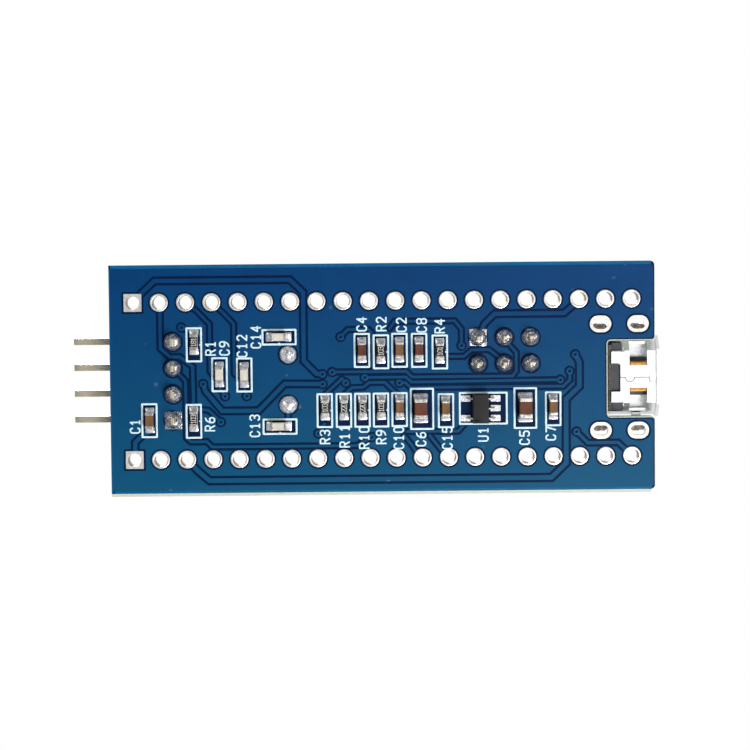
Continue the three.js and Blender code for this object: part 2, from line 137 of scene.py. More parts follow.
# A shape as an object. Its finishes are named in the order of the shape's slots.
def toObject(shape, name, *finishNames):
    mesh = bpy.data.meshes.new(name)
    mesh.from_pydata(shape["points"], [], shape["faces"])
    for label in finishNames:
        mesh.materials.append(finishes[label])
    mesh.polygons.foreach_set("material_index", shape["slots"])
    work = bmesh.new()
    work.from_mesh(mesh)
    bmesh.ops.recalc_face_normals(work, faces=work.faces)
    work.to_mesh(mesh)
    work.free()
    return linked(name, mesh)


def prisms(name, outlines, low, high, *finishNames):
    shape = newShape()
    for outline in outlines:
        addPrism(shape, outline, low, high)
    return toObject(shape, name, *finishNames)


def bevelled(thing, width, segments=2, angle=35):
    modifier = thing.modifiers.new("softEdges", "BEVEL")
    modifier.width = width
    modifier.segments = segments
    modifier.limit_method = "ANGLE"
    modifier.angle_limit = math.radians(angle)
    modifier.use_clamp_overlap = True
    return thing


# Turns a piece's modifiers into plain mesh.
def applied(thing):
    evaluated = thing.evaluated_get(bpy.context.evaluated_depsgraph_get())
    mesh = bpy.data.meshes.new_from_object(evaluated)
    thing.modifiers.clear()
    thing.data = mesh
    return thing


def carve(thing, cutters, operation="DIFFERENCE"):
    for cutter in cutters:
        modifier = thing.modifiers.new("carve", "BOOLEAN")
        modifier.operation = operation
        modifier.solver = "MANIFOLD"
        modifier.object = cutter
    applied(thing)
    for cutter in cutters:
        bpy.data.objects.remove(cutter)
    return thing


# Applies a piece's modifiers, moves it to the shared frame and says what it rides on.
def settle(thing, body="board", replaces=(), smooth=35):
    if thing.modifiers:
        # Flat faces stay flat between rounded edges, because larger faces lead the normals.
        thing.data.shade_smooth()
        thing.modifiers.new("flatFaces", "WEIGHTED_NORMAL").weight = 90
        applied(thing)
    elif smooth:
        thing.data.shade_smooth()
        thing.data.set_sharp_from_angle(angle=math.radians(smooth))
    thing.data.name = thing.name
    thing.data.transform(boardToFrame)
    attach(thing, body)
    if replaces:
        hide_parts(*replaces)
    return thing


# Nodes, for shaders and for geometry
number, colour, vector = "NodeSocketFloat", "NodeSocketColor", "NodeSocketVector"


# Sets a node's inputs, or links those that are given as another node's output.
def feed(tree, node, inputs):
    for label, value in inputs.items():
        if isinstance(value, bpy.types.NodeSocket):
            tree.links.new(value, node.inputs[label])
        else:
            node.inputs[label].default_value = value


def put(tree, kind, inputs=(), **settings):
    node = tree.nodes.new(kind)
    for label, value in settings.items():
        setattr(node, label, value)
    feed(tree, node, dict(inputs))
    return node


# Adds a node like put() does, and gives its first output.
def made(tree, kind, inputs=(), **settings):
    return put(tree, kind, inputs, **settings).outputs[0]


def maths(tree, operation, *values, clamp=False):
    return made(tree, "ShaderNodeMath", enumerate(values), operation=operation, use_clamp=clamp)


# From 0 to 1 while a value goes from its low end to its high end.
def ramp(tree, value, low, high):
    return made(tree, "ShaderNodeMapRange", {"Value": value, "From Min": low, "From Max": high})


def blended(tree, amount, first, second):
    return put(tree, "ShaderNodeMix", {0: amount, 6: first, 7: second}, data_type="RGBA").outputs[2]


# An input is given as its socket's kind or as the number that it starts from.
def nodeGroup(name, kind, inputs, outputs):
    group = bpy.data.node_groups.new(name, kind)
    for label, start in inputs.items():
        kinds = {str: start, float: number, int: "NodeSocketInt"}
        socket = group.interface.new_socket(label, in_out="INPUT", socket_type=kinds[type(start)])
        if not isinstance(start, str):
            socket.default_value = start
    for label, socketKind in outputs.items():
        group.interface.new_socket(label, in_out="OUTPUT", socket_type=socketKind)
    return group, group.nodes.new("NodeGroupInput").outputs, group.nodes.new("NodeGroupOutput")


# Two shades of a colour in soft patches, and a lighter shade where edges are rubbed.
def toneGroup():
    group, given, out = nodeGroup("shadePatches", "ShaderNodeTree", {
        "Vector": vector, "Shade": colour, "Second Shade": colour, "Patches": number, "Rubbed Shade": colour,
        "Rubbing": number,
    }, {"Color": colour})
    cloud = made(group, "ShaderNodeTexNoise", {
        "Vector": given["Vector"], "Scale": given["Patches"], "Detail": 4.0, "Roughness": 0.6,
    })
    mixed = blended(group, ramp(group, cloud, 0.32, 0.68), given["Shade"], given["Second Shade"])
    edge = ramp(group, put(group, "ShaderNodeNewGeometry").outputs["Pointiness"], 0.52, 0.62)
    broken = maths(group, "MULTIPLY", edge, cloud)
    amount = maths(group, "MULTIPLY", broken, given["Rubbing"], clamp=True)
    feed(group, out, {"Color": blended(group, amount, mixed, given["Rubbed Shade"])})
    return group


# A fine grain and a few shallow scratches, as height and as roughness.
def grainGroup():
    group, given, out = nodeGroup("surfaceGrain", "ShaderNodeTree", {
        "Vector": vector, "Grain": number, "Roughness": number, "Roughness Spread": number,
        "Scratches": number,
    }, {"Roughness": number, "Height": number})
    fine = made(group, "ShaderNodeTexNoise", {
        "Vector": given["Vector"], "Scale": given["Grain"], "Detail": 5.0, "Roughness": 0.65,
    })
    stretched = made(group, "ShaderNodeMapping", {
        "Vector": given["Vector"], "Rotation": (0, 0, 0.6), "Scale": (9.0, 0.5, 1.0),
    })
    lines = made(group, "ShaderNodeTexNoise", {"Vector": stretched, "Scale": 1.2, "Detail": 3.0})
    scratch = maths(group, "MULTIPLY", ramp(group, lines, 0.6, 0.75), given["Scratches"])
    centred = maths(group, "SUBTRACT", fine, 0.5)
    spread = maths(group, "MULTIPLY_ADD", centred, given["Roughness Spread"], given["Roughness"])
    feed(group, out, {
        "Roughness": maths(group, "ADD", spread, scratch, clamp=True),
        "Height": maths(group, "SUBTRACT", fine, scratch),
    })
    return group


# Specks of dust and flux that have settled here and there.
def dustGroup():
    group, given, out = nodeGroup("settledDust", "ShaderNodeTree", {
        "Vector": vector, "Color": colour, "Dust Shade": colour, "Amount": number, "Specks": number,
    }, {"Color": colour})
    specks = made(group, "ShaderNodeTexVoronoi", {
        "Vector": given["Vector"], "Scale": given["Specks"], "Randomness": 1.0,
    })
    cloud = made(group, "ShaderNodeTexNoise", {"Vector": given["Vector"], "Scale": 0.7, "Detail": 6.0})
    both = maths(group, "MULTIPLY", ramp(group, specks, 0.13, 0.04), ramp(group, cloud, 0.5, 0.7))
    amount = maths(group, "MULTIPLY", both, given["Amount"], clamp=True)
    feed(group, out, {"Color": blended(group, amount, given["Color"], given["Dust Shade"])})
    return group


shadePatches, surfaceGrain, settledDust = toneGroup(), grainGroup(), dustGroup()


# A colour given as screen values from 0 to 255, as the linear values that shaders take.
def linear(*shade):
    values = (c / 3294.6 if c <= 10 else ((c / 255 + 0.055) / 1.055) ** 2.4 for c in shade)
    return (*values, 1)


# What a finish is where it doesn't say otherwise. Patches, grain and specks are per millimetre, and the
# bump is in micrometres.
plainLook = {
    "patches": 0.4, "rubbedShade": (200, 200, 200), "rubbing": 0, "grain": 12, "rough": 0.5,
    "roughSpread": 0.15, "scratches": 0, "dust": 0.15, "specks": 1.6, "dustShade": (170, 172, 168), "bump": 1,
    "metal": 0, "coat": 0, "coatRough": 0.2, "specular": 0.5, "soft": 0, "softDepth": 0.3 * mm,
    "farShade": None,
}
finishes = {}


# A material from the shared groups, kept under its name.
def finish(name, shade, second, **changes):
    look = {**plainLook, **changes}
    material = finishes[name] = bpy.data.materials.new(name)
    material.use_nodes = True
    tree = material.node_tree
    where = put(tree, "ShaderNodeTexCoord").outputs["Object"]
    place = made(tree, "ShaderNodeMapping", {"Vector": where, "Scale": (1 / mm, 1 / mm, 1 / mm)})
    tone = made(tree, "ShaderNodeGroup", {
        "Vector": place, "Shade": linear(*shade), "Second Shade": linear(*second),
        "Patches": look["patches"], "Rubbed Shade": linear(*look["rubbedShade"]), "Rubbing": look["rubbing"],
    }, node_tree=shadePatches)
    if look["farShade"]:
        # Painted reflection: the mask turns a little lighter and greener towards one long edge, standing in
        # for a soft sheen of light.
        across = put(tree, "ShaderNodeSeparateXYZ", {0: place}).outputs[1]
        tone = blended(tree, ramp(tree, across, -10.0, 11.0), tone, linear(*look["farShade"]))
    dusted = made(tree, "ShaderNodeGroup", {
        "Vector": place, "Color": tone, "Dust Shade": linear(*look["dustShade"]), "Amount": look["dust"],
        "Specks": look["specks"],
    }, node_tree=settledDust)
    grain = put(tree, "ShaderNodeGroup", {
        "Vector": place, "Grain": look["grain"], "Roughness": look["rough"],
        "Roughness Spread": look["roughSpread"], "Scratches": look["scratches"],
    }, node_tree=surfaceGrain)
    bump = made(tree, "ShaderNodeBump", {
        "Strength": 1.0, "Distance": look["bump"] * micrometre, "Height": grain.outputs["Height"],
    })
    feed(tree, tree.nodes["Principled BSDF"], {
        "Base Color": dusted, "Roughness": grain.outputs["Roughness"], "Normal": bump,
        "Metallic": look["metal"], "Coat Weight": look["coat"], "Coat Roughness": look["coatRough"],
        "Specular IOR Level": look["specular"], "Subsurface Weight": look["soft"],
        "Subsurface Scale": look["softDepth"],
    })


looks = {
    "maskOnCopper": {
        "shade": (3, 58, 108), "second": (3, 54, 103), "patches": 0.25, "grain": 9, "bump": 1.2,
        "rough": 0.36, "roughSpread": 0.12, "dust": 0.3, "specks": 0.5, "specular": 0.12,
        # The lighter, greener shade towards one long edge is a painted reflection.
        "farShade": (8, 76, 110),
    },
    "maskOnLaminate": {
        "shade": (0, 30, 66), "second": (0, 25, 58), "patches": 0.5, "grain": 5, "bump": 3, "rough": 0.4,
        "roughSpread": 0.15, "dust": 0.1, "specular": 0.08,
    },
    # Painted glow: a lighter mask for the bands along the board's edges.
    "maskAtEdge": {
        "shade": (4, 92, 136), "second": (5, 80, 124), "patches": 0.4, "grain": 6, "bump": 2,
        "rough": 0.4, "dust": 0.1, "specular": 0.16,
    },
    "bareLaminate": {
        "shade": (190, 198, 184), "second": (180, 188, 174), "patches": 3, "grain": 7, "bump": 6,
        "rough": 0.75, "roughSpread": 0.2, "dust": 0.4, "dustShade": (120, 120, 100),
    },
    "whitePrint": {
        "shade": (218, 238, 244), "second": (196, 222, 232), "patches": 2.5, "grain": 14, "bump": 3,
        "rough": 0.6, "dust": 0.25, "dustShade": (150, 165, 180),
    },
    "tinnedPad": {
        "shade": (244, 242, 238), "second": (212, 206, 198), "patches": 2.2, "grain": 8, "bump": 8,
        "rough": 0.34, "roughSpread": 0.35, "metal": 0.5, "dust": 0.3, "dustShade": (120, 100, 80),
    },
    "solder": {
        "shade": (240, 240, 244), "second": (86, 84, 90), "patches": 2.6, "grain": 6, "bump": 40,
        "rough": 0.26, "roughSpread": 0.6, "metal": 0.92, "dust": 0.8, "specks": 5,
        "dustShade": (70, 62, 60),
    },
    "brightSolder": {
        "shade": (250, 250, 251), "second": (196, 196, 202), "patches": 3, "grain": 8, "bump": 14,
        "rough": 0.26, "roughSpread": 0.35, "metal": 0.6, "dust": 0.5, "specks": 4,
        "dustShade": (90, 86, 84),
    },
    "barrelPlating": {
        "shade": (150, 142, 134), "second": (104, 96, 90), "patches": 1.6, "grain": 7, "bump": 8,
        "rough": 0.4, "roughSpread": 0.4, "metal": 0.9, "dust": 0.4, "dustShade": (90, 70, 56),
    },
    # Solder in the socket's slots, darkened with painted shade from the recess.
    "legSolder": {
        "shade": (128, 120, 112), "second": (58, 52, 46), "patches": 4, "grain": 8, "bump": 20,
        "rough": 0.4, "roughSpread": 0.4, "metal": 0.8, "dust": 0.4, "dustShade": (70, 56, 46),
    },
    # Painted shade: a dark strip for the shadow at the socket moulding's rear, with pale specks of dust.
    "paintedShadeStrip": {
        "shade": (40, 34, 30), "second": (22, 19, 17), "patches": 3.2, "grain": 10, "bump": 14,
        "rough": 0.6, "specular": 0.2, "rubbing": 0.5, "rubbedShade": (190, 182, 170), "dust": 1,
        "specks": 4, "dustShade": (200, 194, 184),
    },
    "chipEnd": {
        "shade": (238, 236, 232), "second": (150, 147, 142), "patches": 3.4, "grain": 9, "bump": 14,
        "rough": 0.3, "roughSpread": 0.4, "metal": 0.75, "dust": 0.3, "specks": 5,
        "dustShade": (80, 76, 72),
    },
    "brownCeramic": {
        "shade": (84, 34, 22), "second": (66, 26, 17), "patches": 2.5, "grain": 16, "bump": 3,
        "specular": 0.2, "rough": 0.5, "rubbing": 0.4, "rubbedShade": (150, 108, 80),
    },
    "tanCeramic": {
        "shade": (112, 74, 34), "second": (88, 57, 25), "patches": 2.5, "grain": 16, "bump": 3,
        "specular": 0.2, "rough": 0.5, "rubbing": 0.4, "rubbedShade": (170, 140, 106),
    },
    "paleCeramic": {
        "shade": (214, 208, 196), "second": (186, 178, 164), "patches": 2.5, "grain": 16, "bump": 3,
        "rough": 0.5, "rubbing": 0.3, "rubbedShade": (226, 222, 214),
    },
    "alumina": {
        "shade": (226, 226, 222), "second": (206, 206, 202), "patches": 2, "grain": 14, "bump": 4,
        "rough": 0.6,
    },
    "resistorGlaze": {
        "shade": (17, 17, 19), "second": (11, 11, 13), "patches": 2.5, "grain": 12, "bump": 3,
        "specular": 0.12, "rough": 0.4, "coat": 0.05, "rubbing": 0.3, "rubbedShade": (70, 70, 72),
    },
    "valuePrint": {
        "shade": (232, 230, 222), "second": (212, 208, 200), "patches": 6, "grain": 16, "bump": 2,
    },
    "moulding": {
        "shade": (25, 25, 26), "second": (19, 19, 20), "patches": 0.8, "grain": 18, "bump": 5,
        "rough": 0.62, "specular": 0.2, "roughSpread": 0.2, "rubbing": 0.5, "rubbedShade": (96, 96, 98),
        "dust": 0.25, "scratches": 0.05,
    },
    "insulator": {
        "shade": (62, 66, 70), "second": (48, 52, 56), "patches": 1, "grain": 14, "bump": 4, "rough": 0.55,
    },
    "steel": {
        "shade": (226, 228, 230), "second": (206, 208, 212), "patches": 0.5, "grain": 7, "bump": 2,
        "rough": 0.24, "roughSpread": 0.16, "metal": 1, "dust": 0.3, "dustShade": (140, 140, 140),
        "scratches": 0.12,
    },
    "socketSteel": {
        "shade": (236, 237, 238), "second": (216, 217, 219), "patches": 0.6, "grain": 6, "bump": 3,
        "rough": 0.3, "roughSpread": 0.25, "metal": 1, "dust": 0.5, "dustShade": (130, 128, 124),
        "scratches": 0.15,
    },
    "pinPlating": {
        "shade": (220, 211, 190), "second": (198, 186, 164), "patches": 0.9, "grain": 8, "bump": 4,
        "rough": 0.34, "roughSpread": 0.25, "metal": 0.65, "dust": 0.4, "dustShade": (110, 96, 80),
        "scratches": 0.2,
    },
    "contactGold": {
        "shade": (198, 154, 92), "second": (166, 122, 62), "patches": 1.5, "grain": 9, "bump": 3,
        "rough": 0.3, "metal": 1, "dust": 0.2, "scratches": 0.1,
    },
    "yellowPlastic": {
        "shade": (236, 198, 34), "second": (226, 184, 22), "patches": 0.3, "grain": 10, "bump": 4,
        "rough": 0.42, "rubbing": 0.4, "rubbedShade": (246, 226, 120), "soft": 0.1, "dust": 0.2,
    },
    "whitePlastic": {
        "shade": (236, 233, 224), "second": (224, 220, 208), "patches": 0.4, "grain": 10, "bump": 4,
        "rough": 0.45, "dust": 0.25, "rubbing": 0.3,
    },
    "redLens": {
        "shade": (240, 120, 104), "second": (228, 96, 82), "patches": 2, "grain": 8, "bump": 2,
        "rough": 0.16, "coat": 0.5, "soft": 0.4, "dust": 0.1,
    },
    "greenLens": {
        "shade": (176, 226, 150), "second": (150, 208, 128), "patches": 2, "grain": 8, "bump": 2,
        "rough": 0.16, "coat": 0.5, "soft": 0.4, "dust": 0.1,
    },
}
for name, look in looks.items():
    finish(name, **look)
print("finishes made")


# Geometry Nodes trees
def geometryTree(name, inputs):
    inputs = {"Geometry": "NodeSocketGeometry", **inputs, "Material": "NodeSocketMaterial"}
    tree, given, out = nodeGroup(name, "GeometryNodeTree", inputs, {"Geometry": "NodeSocketGeometry"})
    tree.is_modifier = True
    return tree, given, out


# Every tree ends the same way: real mesh, no instances, with its finish.
def closeTree(tree, given, out, geometry):
    real = made(tree, "GeometryNodeRealizeInstances", {"Geometry": geometry})
    coated = made(tree, "GeometryNodeSetMaterial", {"Geometry": real, "Material": given["Material"]})
    feed(tree, out, {"Geometry": coated})
    return tree


# Edges become flat domed lines of print, with a round dot where they meet.
def printedLineTree():
    tree, given, out = geometryTree("printedLines", {"Line Width": 0.2, "Ink Height": 0.03})
    half = maths(tree, "MULTIPLY", given["Line Width"], 0.5)
    split = made(tree, "GeometryNodeSplitEdges", {"Mesh": given["Geometry"]})
    curves = made(tree, "GeometryNodeMeshToCurve", {"Mesh": split})
    upright = made(tree, "GeometryNodeSetCurveNormal", {"Curve": curves}, mode="Z_UP")
    section = made(tree, "GeometryNodeCurvePrimitiveCircle", {"Resolution": 8, "Radius": 1.0})
    flat = made(tree, "ShaderNodeCombineXYZ", {"X": half, "Y": given["Ink Height"], "Z": 1.0})
    shaped = made(tree, "GeometryNodeTransform", {"Geometry": section, "Scale": flat})
    lines = made(tree, "GeometryNodeCurveToMesh", {
        "Curve": upright, "Profile Curve": shaped, "Fill Caps": True,
    })
    ball = made(tree, "GeometryNodeMeshUVSphere", {"Segments": 10, "Rings": 6, "Radius": 1.0})
    size = made(tree, "ShaderNodeCombineXYZ", {"X": half, "Y": half, "Z": given["Ink Height"]})
    dots = made(tree, "GeometryNodeInstanceOnPoints", {
        "Points": given["Geometry"], "Instance": ball, "Scale": size,
    })
    both = put(tree, "GeometryNodeJoinGeometry")
    for part in (lines, dots):
        tree.links.new(part, both.inputs[0])
    return closeTree(tree, given, out, both.outputs[0])


# A plated ring that goes through the board at every point: a pad on each face and a barrel.
def ringTree():
    tree, given, out = geometryTree("platedRings", {
        "Hole Radius": 0.6, "Pad Radius": 0.85, "Depth": 1.6, "Rounding": 0.03, "Sides": 40,
    })
    ends = maths(tree, "ADD", given["Hole Radius"], given["Pad Radius"])
    middle = maths(tree, "MULTIPLY", ends, 0.5)
    width = maths(tree, "SUBTRACT", given["Pad Radius"], given["Hole Radius"])
    path = made(tree, "GeometryNodeCurvePrimitiveCircle", {"Resolution": given["Sides"], "Radius": middle})
    section = made(tree, "GeometryNodeCurvePrimitiveQuadrilateral", {
        "Width": width, "Height": given["Depth"],
    })
    rounded = made(tree, "GeometryNodeFilletCurve", {
        "Curve": section, "Radius": given["Rounding"], "Count": 2,
    }, mode="POLY")
    upright = made(tree, "GeometryNodeSetCurveNormal", {"Curve": path}, mode="Z_UP")
    ring = made(tree, "GeometryNodeCurveToMesh", {"Curve": upright, "Profile Curve": rounded})
    rings = made(tree, "GeometryNodeInstanceOnPoints", {"Points": given["Geometry"], "Instance": ring})
    return closeTree(tree, given, out, rings)


# A mound of solder at every point, waisted towards the pin, each one turned and lumped differently.
def solderJointTree():
    tree, given, out = geometryTree("solderJoints", {
        "Radius": 0.82, "Neck": 0.36, "Height": 1.0, "Bulge": 0.05, "Lumps": 0.1, "Lump Size": 2.2, "Seed": 3,
    })
    cone = made(tree, "GeometryNodeMeshCone", {
        "Vertices": 36, "Side Segments": 10, "Fill Segments": 4, "Radius Top": given["Neck"],
        "Radius Bottom": given["Radius"], "Depth": given["Height"],
    }, fill_type="TRIANGLE_FAN")
    place = made(tree, "GeometryNodeInputPosition")
    rise = put(tree, "ShaderNodeSeparateXYZ", {0: place}).outputs[2]
    turn = maths(tree, "MULTIPLY", maths(tree, "DIVIDE", rise, given["Height"]), math.pi)
    swell = maths(tree, "MULTIPLY_ADD", maths(tree, "SINE", turn), given["Bulge"], 1.0)
    wide = made(tree, "ShaderNodeCombineXYZ", {0: swell, 1: swell, 2: 1.0})
    swollen = made(tree, "ShaderNodeVectorMath", {0: place, 1: wide}, operation="MULTIPLY")
    mound = made(tree, "GeometryNodeSetPosition", {"Geometry": cone, "Position": swollen})
    spin = made(tree, "FunctionNodeRandomValue", {
        0: (0, 0, 0), 1: (0.12, 0.12, 2 * math.pi), "Seed": given["Seed"],
    }, data_type="FLOAT_VECTOR")
    size = made(tree, "FunctionNodeRandomValue", {
        0: (0.95, 0.95, 0.86), 1: (1.04, 1.04, 1.08), "Seed": given["Seed"],
    }, data_type="FLOAT_VECTOR")
    mounds = made(tree, "GeometryNodeInstanceOnPoints", {
        "Points": given["Geometry"], "Instance": mound, "Rotation": spin, "Scale": size,
    })
    real = made(tree, "GeometryNodeRealizeInstances", {"Geometry": mounds})
    lumps = made(tree, "ShaderNodeTexNoise", {"Vector": place, "Scale": given["Lump Size"], "Detail": 2.0})
    push = maths(tree, "MULTIPLY", maths(tree, "SUBTRACT", lumps, 0.5), given["Lumps"])
    outward = made(tree, "GeometryNodeInputNormal")
    offset = made(tree, "ShaderNodeVectorMath", {0: outward, "Scale": push}, operation="SCALE")
    return closeTree(tree, given, out, made(tree, "GeometryNodeSetPosition", {
        "Geometry": real, "Offset": offset,
    }))


# One lead's centre line becomes a comb of flat bent leads, repeated round the package's sides.
def leadCombTree():
    tree, given, out = geometryTree("leadComb", {
        "Leads": 12, "Pitch": 0.5, "Width": 0.22, "Thickness": 0.14, "Bend": 0.1, "Sides": 4,
        "Turn": math.pi / 2,
    })
    line = made(tree, "GeometryNodeMeshToCurve", {"Mesh": given["Geometry"]})
    bent = made(tree, "GeometryNodeFilletCurve", {
        "Curve": line, "Radius": given["Bend"], "Count": 4,
    }, mode="POLY")
    upright = made(tree, "GeometryNodeSetCurveNormal", {"Curve": bent}, mode="MINIMUM_TWIST")
    section = made(tree, "GeometryNodeCurvePrimitiveQuadrilateral", {
        "Width": given["Thickness"], "Height": given["Width"],
    })
    edges = made(tree, "GeometryNodeFilletCurve", {"Curve": section, "Radius": 0.02, "Count": 1}, mode="POLY")
    lead = made(tree, "GeometryNodeCurveToMesh", {
        "Curve": upright, "Profile Curve": edges, "Fill Caps": True,
    })
    reach = maths(tree, "MULTIPLY", maths(tree, "SUBTRACT", given["Leads"], 1.0), given["Pitch"])
    start = made(tree, "ShaderNodeCombineXYZ", {1: maths(tree, "MULTIPLY", reach, -0.5)})
    step = made(tree, "ShaderNodeCombineXYZ", {1: given["Pitch"]})
    row = made(tree, "GeometryNodeMeshLine", {
        "Count": given["Leads"], "Start Location": start, "Offset": step,
    })
    side = made(tree, "GeometryNodeInstanceOnPoints", {"Points": row, "Instance": lead})
    turns = made(tree, "GeometryNodeMeshLine", {"Count": given["Sides"], "Offset": (0, 0, 0)})
    angle = maths(tree, "MULTIPLY", made(tree, "GeometryNodeInputIndex"), given["Turn"])
    about = made(tree, "ShaderNodeCombineXYZ", {2: angle})
    return closeTree(tree, given, out, made(tree, "GeometryNodeInstanceOnPoints", {
        "Points": turns, "Instance": side, "Rotation": about,
    }))


# Runs a tree on a piece. Inputs are given by the tree's own names, with their spaces left out.
def grown(thing, tree, finishName, **inputs):
    modifier = thing.modifiers.new(tree.name, "NODES")
    modifier.node_group = tree
    inputs["Material"] = finishes[finishName]
    for item in tree.interface.items_tree:
        label = item.name.replace(" ", "")
        if item.item_type == "SOCKET" and item.in_out == "INPUT" and label in inputs:
            modifier[item.identifier] = inputs[label]
    applied(thing)
    work = bmesh.new()
    work.from_mesh(thing.data)
    bmesh.ops.remove_doubles(work, verts=work.verts, dist=0.0005)
    bmesh.ops.recalc_face_normals(work, faces=work.faces)
    work.to_mesh(thing.data)
    work.free()
    return thing


# Loose points, or lines given as lists of points.
def wired(name, points, edges=()):
    mesh = bpy.data.meshes.new(name)
    mesh.from_pydata([tuple(p) for p in points], edges, [])
    return linked(name, mesh)


def linesAt(name, lines):
    points, edges = [], []
    for line in lines:
        start = len(points)
        points += line
        edges += [(start + i, start + i + 1) for i in range(len(line) - 1)]
    return wired(name, points, edges)


printedLines, platedRings = printedLineTree(), ringTree()
solderJoints, leadComb = solderJointTree(), leadCombTree()
print("trees made")

# The laminate
rowPlaces = [((i - 9.5) * pitch, side * 3 * pitch) for side in (-1, 1) for i in range(20)]
squarePlaces = [p for p in rowPlaces if p[0] < -9 * pitch]
roundPlaces = [p for p in rowPlaces if p not in squarePlaces]
debugPlaces = [(-8 * pitch, (i - 1.5) * pitch) for i in range(4)]
bootPlaces = [(11.8 + i * pitch, -2.7 + j * pitch / 2) for i in (-1, 0, 1) for j in (-1, 1)]
crystalPlaces = [(-9.15, -0.05 - 2.44), (-9.15, -0.05 + 2.44)]
slotPlaces = [(x, side * 5.17) for x in (21.13, 24.76) for side in (-1, 1)]
laminate = {
    "hole": 0.7, "pad": 0.86, "pinPad": 0.84, "slotLength": 1.55, "slotWidth": 1.05, "slotPadLength": 2.06,
    "slotPadWidth": 1.62, "scoreDepth": 0.32, "edgeBand": 0.42, "endBand": 0.14, "skin": 0.012,
    "padRise": 0.06,
}
# Cutters reach from well below the board to well above it.
below, above = -3.0, 5.0


# The board's outline with its notch for the socket, drawn inset by these margins.
def boardOutline(ends=0.0, sides=0.0, lowerCut=0.0, notch=0.0):
    left, right = board["left"] + ends, board["right"] - ends
    high = board["halfWidth"] - sides
    corner, notchCorner = max(board["corner"] - ends, 0.05), board["notchCorner"] + notch
    notchX = board["notchInner"] - notch
    notchLow = board["notchY"] - board["notchHalf"] - notch
    notchHigh = board["notchY"] + board["notchHalf"] + notch
    farCorner = board["notchCorner"]
    outline = [(left, high - lowerCut), (left, -high)]
    outline += arc(right - corner, corner - high, corner, -90, 0, 8)
    outline += arc(right - farCorner, notchLow - farCorner, farCorner, 0, 90, 6)
    outline += arc(notchX + notchCorner, notchLow + notchCorner, notchCorner, 270, 180, 6)
    outline += arc(notchX + notchCorner, notchHigh - notchCorner, notchCorner, 180, 90, 6)
    outline += arc(right - farCorner, notchHigh + farCorner, farCorner, 270, 360, 6)
    outline += arc(right - corner, high - corner - lowerCut, corner, 0, 90, 8)
    return outline


# The outlines of the socket's four slots, at a length and width.
def slotOutlines(length, width, steps=10, flat=0.01):
    return [rectangle(x, y, length, width, width / 2 - flat, steps) for x, y in slotPlaces]


def holeCutters(low=below, high=above, grow=0.0):
    holes = [circle(x, y, laminate["hole"] + grow, 40) for x, y in rowPlaces]
    holes += slotOutlines(laminate["slotLength"] + 2 * grow, laminate["slotWidth"] + 2 * grow, flat=0.001)
    return prisms("holes", holes, low, high)


# The slab shows its mask on both faces and pale glass laminate on its routed sides.
def buildLaminate():
    skin, score = laminate["skin"], laminate["scoreDepth"]
    core = newShape()
    addPrism(core, boardOutline(lowerCut=score), skin, top - skin)
    # The snapped edge of a panel: a scored groove on each face and rough laminate between.
    high = board["halfWidth"]
    left, right = board["left"], board["right"] - 0.35
    profile = [(high - score, skin), (high, 0.5), (high, top - 0.5), (high - score, top - skin)]
    points = [(x, y, z) for x in (left, right) for y, z in profile]
    faces = [[3, 2, 1, 0], [4, 5, 6, 7], [0, 1, 5, 4], [1, 2, 6, 5], [2, 3, 7, 6], [3, 0, 4, 7]]
    addFaces(core, points, faces)
    slab = carve(toObject(core, "board_laminate", "bareLaminate"), [holeCutters()])
    settle(slab, replaces=["circuit_board"])
    for name, face in (("solder", 0), ("component", top)):
        sheet = prisms(f"{name}_side_mask", [boardOutline(0.03, 0.02, score, 0.1)], face - skin, face + skin,
                       "maskOnLaminate")
        settle(carve(sheet, [holeCutters()]), replaces=["circuit_board"])


